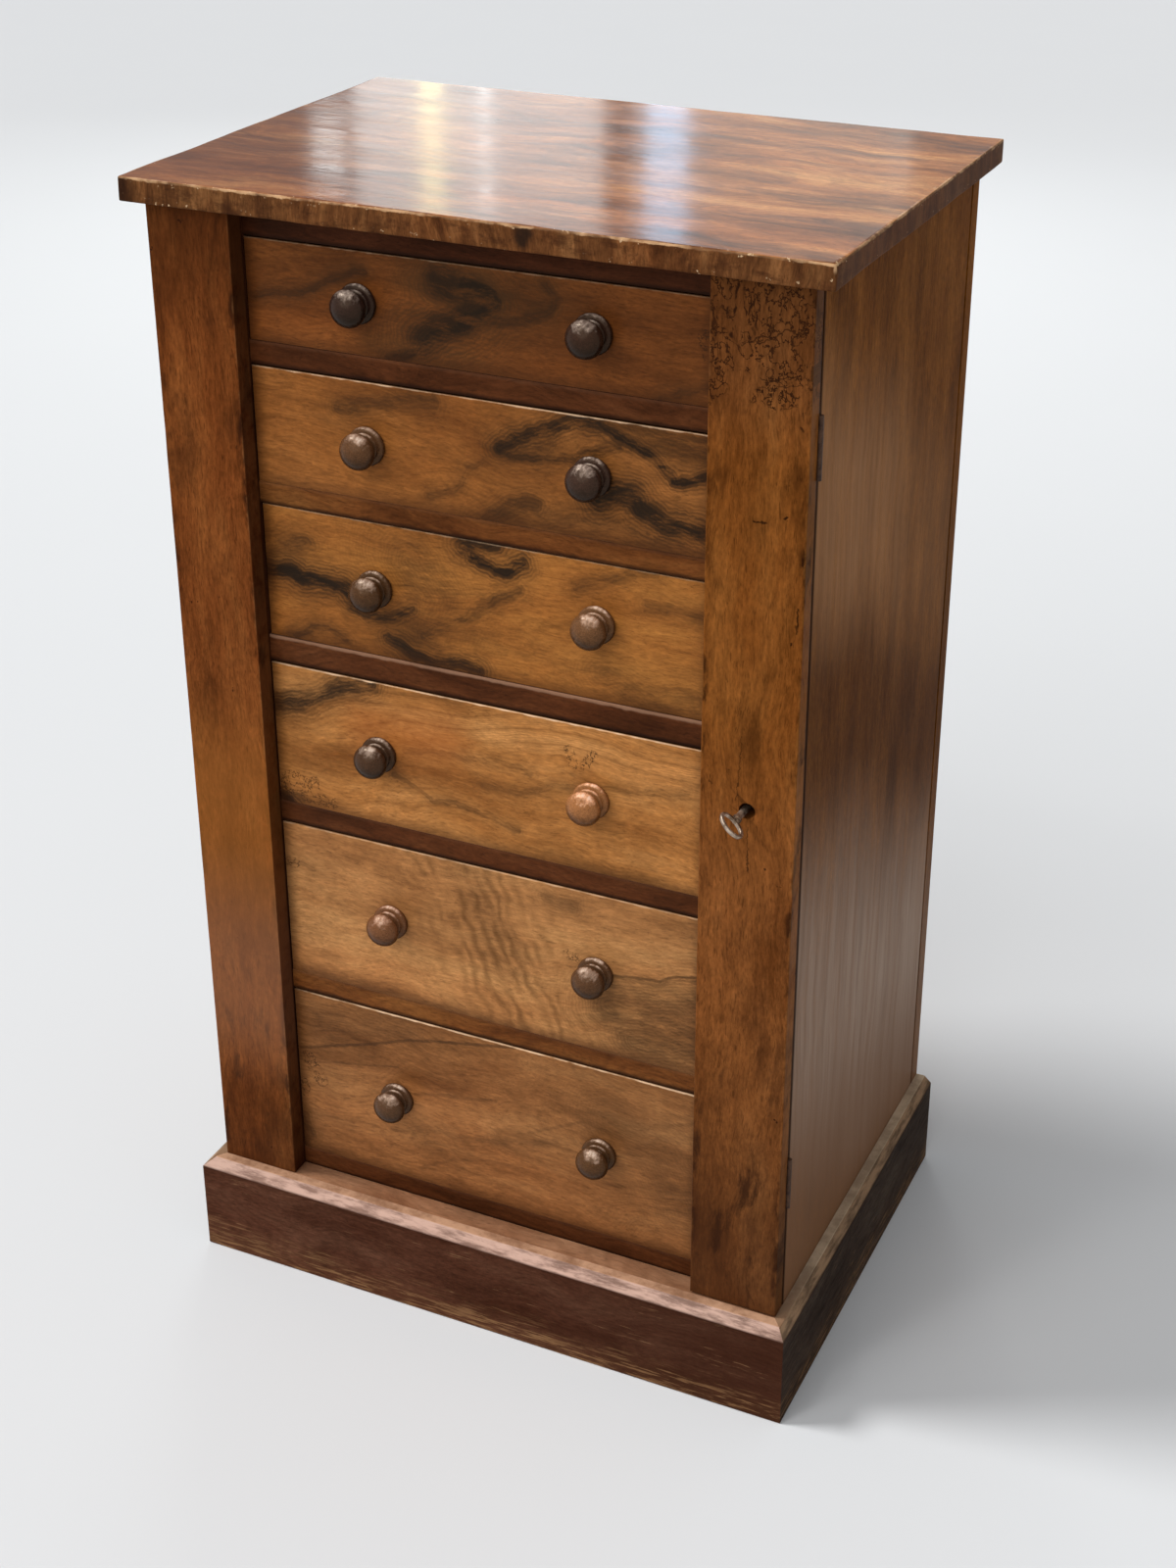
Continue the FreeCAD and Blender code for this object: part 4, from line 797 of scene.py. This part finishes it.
# Each side: its finish, how strongly its painted reflections and browner foot show, and its pieces.
for name, wear_and_sheen, node_names in (
    ("side_with_painted_sheen", 1.0, ("side_right",)),
    ("side_with_faint_painted_sheen", 0.3, ("side_left", "back_frame")),
):
    side = Finish(name)
    colour, height, flow = woody(side, "z", (1.0, 3.0, 2.0), SIDE_TONES, figure=2.4, wander=0.4, lines=8.0,
                                 fibre=0.24, pores=0.4, red=0.1, rings=0.3)
    _, y, z = side.parts(side.place)
    streaks = side.grains((90, 90, 2.4), 5, 0.68, on=flow)
    streaks = side.grade(streaks, 0.34, 0.66, 0.66, 1.14, "LINEAR")

    # Painted reflections: a dark belt between two pale hazes of painted sheen. All three slant and wander.
    lift = side.times(side.grains((6, 6, 2), 3), 0.12)
    slanted = side.calc("ADD", side.calc("ADD", z, lift), side.calc("MULTIPLY_ADD", y, 0.5, 0.01))
    belt = side.grade(side.off(slanted, 0.69), 0.13, 0.03, 0.0, 0.42 * wear_and_sheen)
    colour = side.over(colour, belt, 56, 26, 6)
    upper = side.grade(side.off(slanted, 0.875), 0.17, 0.03, 0.0, 0.6 * wear_and_sheen)
    upper = side.times(upper, side.grade(y, -0.1, 0.16, 1.0, 0.4))
    colour = side.over(colour, side.times(upper, streaks), 176, 130, 92)
    lower = side.times(side.grade(slanted, 0.66, 0.44, 0.0, 0.85 * wear_and_sheen), side.grade(slanted, 0.17, 0.3))
    lower = side.times(lower, side.grade(y, -0.15, 0.15, 0.94, 1.12))
    colour = side.over(colour, side.times(lower, streaks), 166, 142, 124)

    # The foot is browner, and the front arris is darkened by painted shade from the gap at the front.
    foot = side.grade(side.calc("MULTIPLY_ADD", y, 0.3, z), 0.34, 0.18, 0.0, 0.75 * wear_and_sheen)
    colour = side.over(colour, foot, 128, 94, 70)
    colour = side.over(colour, side.grade(y, -0.168, -0.1705, 0.0, 0.8), 40, 22, 12)
    normal = side.relief(side.grains((8, 24, 5)), 0.0004)
    normal = side.relief(height, 0.00008, normal)
    rough = side.grade(z, 0.9, 0.2, 0.46, 0.34)
    dress(side.finish(colour, rough, normal, Specular_IOR_Level=0.004), *node_names)


# The rails between the drawers are of dark red-brown mahogany, two of them of walnut, tenoned into the posts.
# Their lower edges are black with painted shade from the gaps below, and their front arrises are rubbed pale
# and partly lit by a painted highlight.
def rubbed_rail(node, tones, shift, rubbed):
    rail = Finish(f"{node}_wood")
    colour, height, _ = woody(rail, "x", shift, tones, figure=1.6, fibre=0.18, red=0.2)
    low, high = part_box(node)
    _, y, z = rail.parts(rail.place)
    lift = rail.times(rail.noise(rail.place, 80, 3), 0.003)
    # Painted shade from the gap below darkens the lower edge.
    under = rail.grade(rail.less(z, lift), low.z + 0.003, low.z - 0.001, 0.0, 0.8)
    colour = rail.over(colour, under, 26, 13, 9)
    # The upper arris is rubbed pale, and partly a painted highlight where it catches the light.
    over = rail.grade(rail.calc("ADD", z, lift), high.z - 0.0022, high.z + 0.0002, 0.0, rubbed)
    over = rail.times(over, rail.grade(y, low.y + 0.002, low.y + 0.0008))
    colour = rail.over(colour, over, 150, 112, 88)
    normal = rail.relief(height, 0.0001)
    rough = rail.grade(rail.noise(rail.place, 30, 3), 0.3, 0.7, 0.36, 0.5)
    dress(rail.finish(colour, rough, normal, Specular_IOR_Level=0.06, Specular_Tint=WARM_GLOSS), node)


RED_BROWN = shades(((50, 24, 10), (82, 44, 22), (98, 57, 31)))
BROWN = shades(((66, 32, 12), (108, 62, 28), (130, 82, 40)))
DARK_BROWN = shades(((38, 17, 8), (60, 29, 15), (76, 40, 22)))
# Each rail: its tones, and how far its upper arris is rubbed pale, partly as a painted highlight.
RAILS = (
    ("top_rail_front", DARK_BROWN, 0.06),
    ("drawer_rail_1", RED_BROWN, 0.06),
    ("drawer_rail_2", BROWN, 0.06),
    ("drawer_rail_3", RED_BROWN, 0.8),
    ("drawer_rail_4", RED_BROWN, 0.06),
    ("drawer_rail_5", BROWN, 0.06),
    ("bottom_rail", RED_BROWN, 0.06),
)
for count, (node, tones, rubbed) in enumerate(RAILS):
    rubbed_rail(node, tones, (1.0 + count, 2.0, 3.0 + 2.0 * count), rubbed)


# Posts and plinth are mahogany too, with the grain along each piece. The plinth is mitred at its corners. Its
# bevel is rubbed pale, its lower edge is scuffed, and its sides are dusty.
def plain_wood(name, grain, tones, shift=(0.0, 0.0, 0.0), rough=(0.4, 0.55), **figure):
    wood = Finish(name)
    colour, height, _ = woody(wood, grain, shift, tones, **figure)
    roughness = wood.grade(wood.noise(wood.place, 30, 3), 0.3, 0.7, *rough)
    return wood.finish(colour, roughness, wood.relief(height, 0.00012), Specular_IOR_Level=0.06)


dress(plain_wood("mahogany_post", "z", DARK_BROWN, (4.0, 2.0, 3.0)), "post_left", "post_right")
PACKING = shades(((112, 74, 50), (146, 106, 78), (168, 128, 98)))
dress(plain_wood("plinth_packing", "x", PACKING, figure=2.0), "plinth_framing")

# The ledge is the flat top of the plinth, and the bevel falls away in front of it.
LEDGE_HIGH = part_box("plinth_front")[1].z
BEVEL_LOW = LEDGE_HIGH - 0.007
for name, grain, levels, bevel_level, ledge_levels, node_names in (
    ("plinth_front_wood", "x", ((62, 34, 22), (82, 50, 36), (94, 62, 46)), (198, 164, 148),
     ((146, 106, 78), (192, 148, 114)), ("plinth_front",)),
    ("plinth_side_wood", "y", ((44, 34, 28), (62, 50, 42), (76, 64, 54)), (156, 126, 98),
     ((168, 146, 122), (206, 184, 156)), ("plinth_left", "plinth_right")),
):
    plinth = Finish(name)
    colour, height, _ = woody(plinth, grain, (2.0, 7.0, 1.0), shades(levels), figure=1.8, fibre=0.2, red=0.2)
    x, y, z = plinth.parts(plinth.place)
    if name == "plinth_front_wood":
        colour = plinth.over(colour, plinth.grade(x, -0.1, 0.3, 0.0, 0.65), 52, 28, 18)

    # Scuffs near the floor, and scratches all over.
    scuff = plinth.grains((14, 14, 50), 5, 0.65)
    scratch = plinth.grains((30, 30, 420), 3, 0.7)
    near_foot = plinth.grade(plinth.less(z, plinth.times(scuff, 0.07)), 0.004, -0.03)
    near_foot = plinth.times(near_foot, plinth.grade(scratch, 0.48, 0.62, 0.05, 0.8))
    colour = plinth.over(colour, near_foot, 136, 100, 68)
    scored = plinth.times(plinth.grade(scratch, 0.6, 0.68), plinth.grade(scuff, 0.5, 0.6, 0.0, 0.45))
    colour = plinth.over(colour, scored, 140, 104, 74)

    # The rubbed bevel, the dusty ledge, and a dark line below the bevel.
    wear_and_sheen = plinth.grains((26, 26, 240), 5, 0.68)
    bevel = plinth.grade(z, BEVEL_LOW - 0.001, BEVEL_LOW + 0.0005)
    bevel = plinth.times(bevel, plinth.grade(wear_and_sheen, 0.36, 0.6, 0.35, 1.0))
    colour = plinth.over(colour, bevel, *bevel_level)
    ledge = plinth.grade(z, LEDGE_HIGH - 0.0006, LEDGE_HIGH - 0.0002)
    ledge_tone = plinth.mix(plinth.grade(wear_and_sheen, 0.35, 0.65), *shades(ledge_levels))
    if name == "plinth_side_wood":
        ledge_tone = plinth.over(ledge_tone, plinth.grade(y, -0.1, -0.2, 0.0, 0.85), 122, 84, 58)
    colour = plinth.mix(plinth.times(ledge, 0.85), colour, ledge_tone)
    line = plinth.grade(z, BEVEL_LOW + 0.001, BEVEL_LOW)
    line = plinth.times(line, plinth.grade(z, BEVEL_LOW - 0.006, BEVEL_LOW))
    colour = plinth.over(colour, plinth.times(line, 0.45), 48, 26, 18)
    normal = plinth.relief(height, 0.00012)
    rough = plinth.grade(wear_and_sheen, 0.3, 0.7, 0.4, 0.6)
    dress(plinth.finish(colour, rough, normal, Specular_IOR_Level=0.006), *node_names)


# Inside, the carcase is of pine: the rail under the back of the top, the bottom board, the runners, guides
# and stops of the drawers, the panels in the grooves of the back frame, and the glue blocks.
PINE = shades(((122, 84, 46), (168, 124, 76), (196, 156, 104)))
for name, grain, shift, node_names in (
    ("pine_along", "x", (0.0, 0.0, 0.0), ("top_rail_back", "bottom_board", "drawer_stops")),
    ("pine_across", "y", (3.0, 1.0, 2.0), ("drawer_runners", "drawer_guides")),
    ("pine_up", "z", (6.0, 1.0, 2.0), ("back_panels", "glue_blocks")),
):
    dress(plain_wood(name, grain, PINE, shift, (0.6, 0.8), lines=18.0), *node_names)

# The drawer boxes are of pale quartered wood. Their sides are dovetailed to the front and back, and their
# thin bottoms lie in grooves.
LINING = shades(((150, 112, 68), (186, 150, 100), (206, 172, 122)))
lining_across = plain_wood("lining_across", "y", LINING, rough=(0.55, 0.75), lines=14.0)
lining_along = plain_wood("lining_along", "x", LINING, (2.0, 1.0, 4.0), rough=(0.55, 0.75), lines=14.0)
for number in STREAKS:
    dress(lining_across, f"drawer_{number}_box")
    dress(lining_along, f"drawer_{number}_bottom")


# The knobs are turned from one piece of stained wood, each with its dowel, which is glued in the drawer
# front. Handling has rubbed them to different browns, and they shine. Painted highlights lie on their tops,
# and painted shade below.
# Each pair, left and right: how far along x and how high, in millimetres, and the middle tone.
KNOBS = {
    1: ((-105.2, 987.85, (46, 30, 24)), (103.2, 990.15, (50, 31, 22))),
    2: ((-102.2, 867.5, (88, 58, 36)), (102.7, 873.3, (56, 38, 30))),
    3: ((-102.2, 738.0, (74, 48, 28)), (105.2, 744.0, (102, 68, 42))),
    4: ((-104.2, 580.0, (66, 44, 30)), (101.2, 581.0, (150, 98, 58))),
    5: ((-100.2, 409.0, (110, 70, 44)), (104.7, 408.0, (82, 54, 34))),
    6: ((-102.2, 212.45, (80, 54, 36)), (108.2, 214.45, (80, 52, 30))),
}
# The turned outline, from the dowel's end to the head: how far out from the drawer front, and the radius.
KNOB_OUTLINE = (
    (-20.0, 0.0), (-20.0, 4.4), (-19.4, 5.0), (0.0, 5.0), (0.0, 15.9), (0.5, 16.6), (1.8, 17.0), (3.4, 16.9),
    (4.6, 16.2), (5.3, 15.0), (5.6, 13.4), (5.8, 12.7), (6.8, 12.6), (7.5, 12.0), (7.9, 10.8), (8.4, 9.2),
    (9.4, 7.9), (10.8, 7.3), (11.9, 7.7), (12.6, 8.8), (13.0, 10.8), (13.6, 13.2), (14.6, 14.9), (16.0, 15.7),
    (17.4, 15.9), (19.0, 15.7), (20.7, 15.05), (22.3, 13.9), (23.8, 12.4), (25.1, 10.6), (26.2, 8.5),
    (27.1, 6.2), (27.8, 3.5), (28.0, 0.0),
)
KNOB_TURNS = 48
# The painted highlight lies where the knob faces this way, up and forward.
PAINTED_HIGHLIGHT_FACING = (0.13, -0.44, 0.89)
KNOB_GLOSS = (1.0, 0.78, 0.56, 1.0)


def knob_finish(number, pair):
    """Stained wood with a painted highlight where it faces up and forward, and painted shade where it faces
    away. The left and right knob differ in tone.
    """
    knob = Finish(f"knob_{number}_wood")
    across = knob.parts(knob.place)[0]
    tone = knob.mix(knob.grade(across, -0.001, 0.001), *pair)
    mottle = knob.grains((240, 90, 240), 4, 0.65)
    speck = knob.grade(knob.noise(knob.place, 900, 3, 0.7), 0.3, 0.7, 0.62, 1.42, "LINEAR")
    tone = knob.levelled(tone, speck)
    # Painted shade, on the parts that face away from the light.
    dark = knob.mix(1.0, tone, (0.3, 0.27, 0.22, 1.0), "MULTIPLY")
    # A painted highlight, pale toward the tops of the head and flange.
    pale = knob.mix(0.3, knob.mix(1.0, tone, (2.6, 2.5, 2.4, 1.0), "MULTIPLY"), screen(236, 216, 198))
    lit_facing = knob.vector("DOT_PRODUCT", knob.facing, PAINTED_HIGHLIGHT_FACING, output="Value")
    lit_and_mottled = knob.calc("ADD", lit_facing, knob.grade(mottle, 0.3, 0.7, -0.16, 0.16, "LINEAR"))
    colour = knob.mix(knob.grade(lit_and_mottled, 0.62, -0.1), tone, dark)
    colour = knob.mix(knob.grade(lit_and_mottled, 0.74, 1.08), colour, pale)
    # The hot core of the painted highlight.
    colour = knob.over(colour, knob.grade(lit_and_mottled, 0.96, 1.12, 0.0, 0.45), 240, 222, 204)
    rough = knob.grade(mottle, 0.3, 0.7, 0.16, 0.26)
    normal = knob.relief(mottle, 0.0001)
    return knob.finish(colour, rough, normal, Specular_IOR_Level=0.18, Specular_Tint=KNOB_GLOSS)


for number, pair in KNOBS.items():
    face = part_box(f"drawer_{number}_front")[0].y
    form = bmesh.new()
    for x, z, _ in pair:
        line = [form.verts.new((x / 1000 + radius / 1000, face - out / 1000, z / 1000))
                for out, radius in KNOB_OUTLINE]
        runs = [form.edges.new(ends) for ends in zip(line, line[1:])]
        bmesh.ops.spin(form, geom=line + runs, cent=(x / 1000, 0.0, z / 1000), axis=(0.0, 1.0, 0.0),
                       angle=math.tau, steps=KNOB_TURNS, use_merge=True)
    bmesh.ops.remove_doubles(form, verts=form.verts, dist=SAME_PLACE)
    bmesh.ops.recalc_face_normals(form, faces=form.faces)
    material = knob_finish(number, shades([level for _, _, level in pair]))
    body = f"drawer_{number}"
    linked(f"turned_knobs_{number}", form, body, "dark_stained_wood", material, f"drawer_{number}_knobs")


# Hinges, strike, lock and screws are of iron, the bolt is of brass and the key of steel, all dull with age.
# The hinges, strike and lock are let into the wood and screwed.
def plain_metal(name, dark, pale, metallic, rough):
    metal = Finish(name)
    mottle = metal.noise(metal.place, 160, 4, 0.6)
    colour = metal.ramp(mottle, (0.35, screen(*dark)), (0.65, screen(*pale)))
    roughness = metal.grade(mottle, 0.3, 0.7, rough, rough + 0.2)
    return metal.finish(colour, roughness, metal.relief(mottle, 0.00008), Metallic=metallic)


iron = plain_metal("rusty_iron", (46, 30, 22), (92, 66, 50), 0.7, 0.5)
dress(iron, "hinge_leaves_fixed", "hinge_leaves_moving", "hinge_pins", "carcase_screws", "pilaster_screws")
dress(iron, "strike_plate", "lock_plate", "lock_case")
dress(plain_metal("old_brass", (120, 92, 48), (176, 144, 84), 1.0, 0.35), "lock_bolt")
dress(plain_metal("key_steel", (116, 96, 78), (196, 178, 160), 0.9, 0.3), "key")
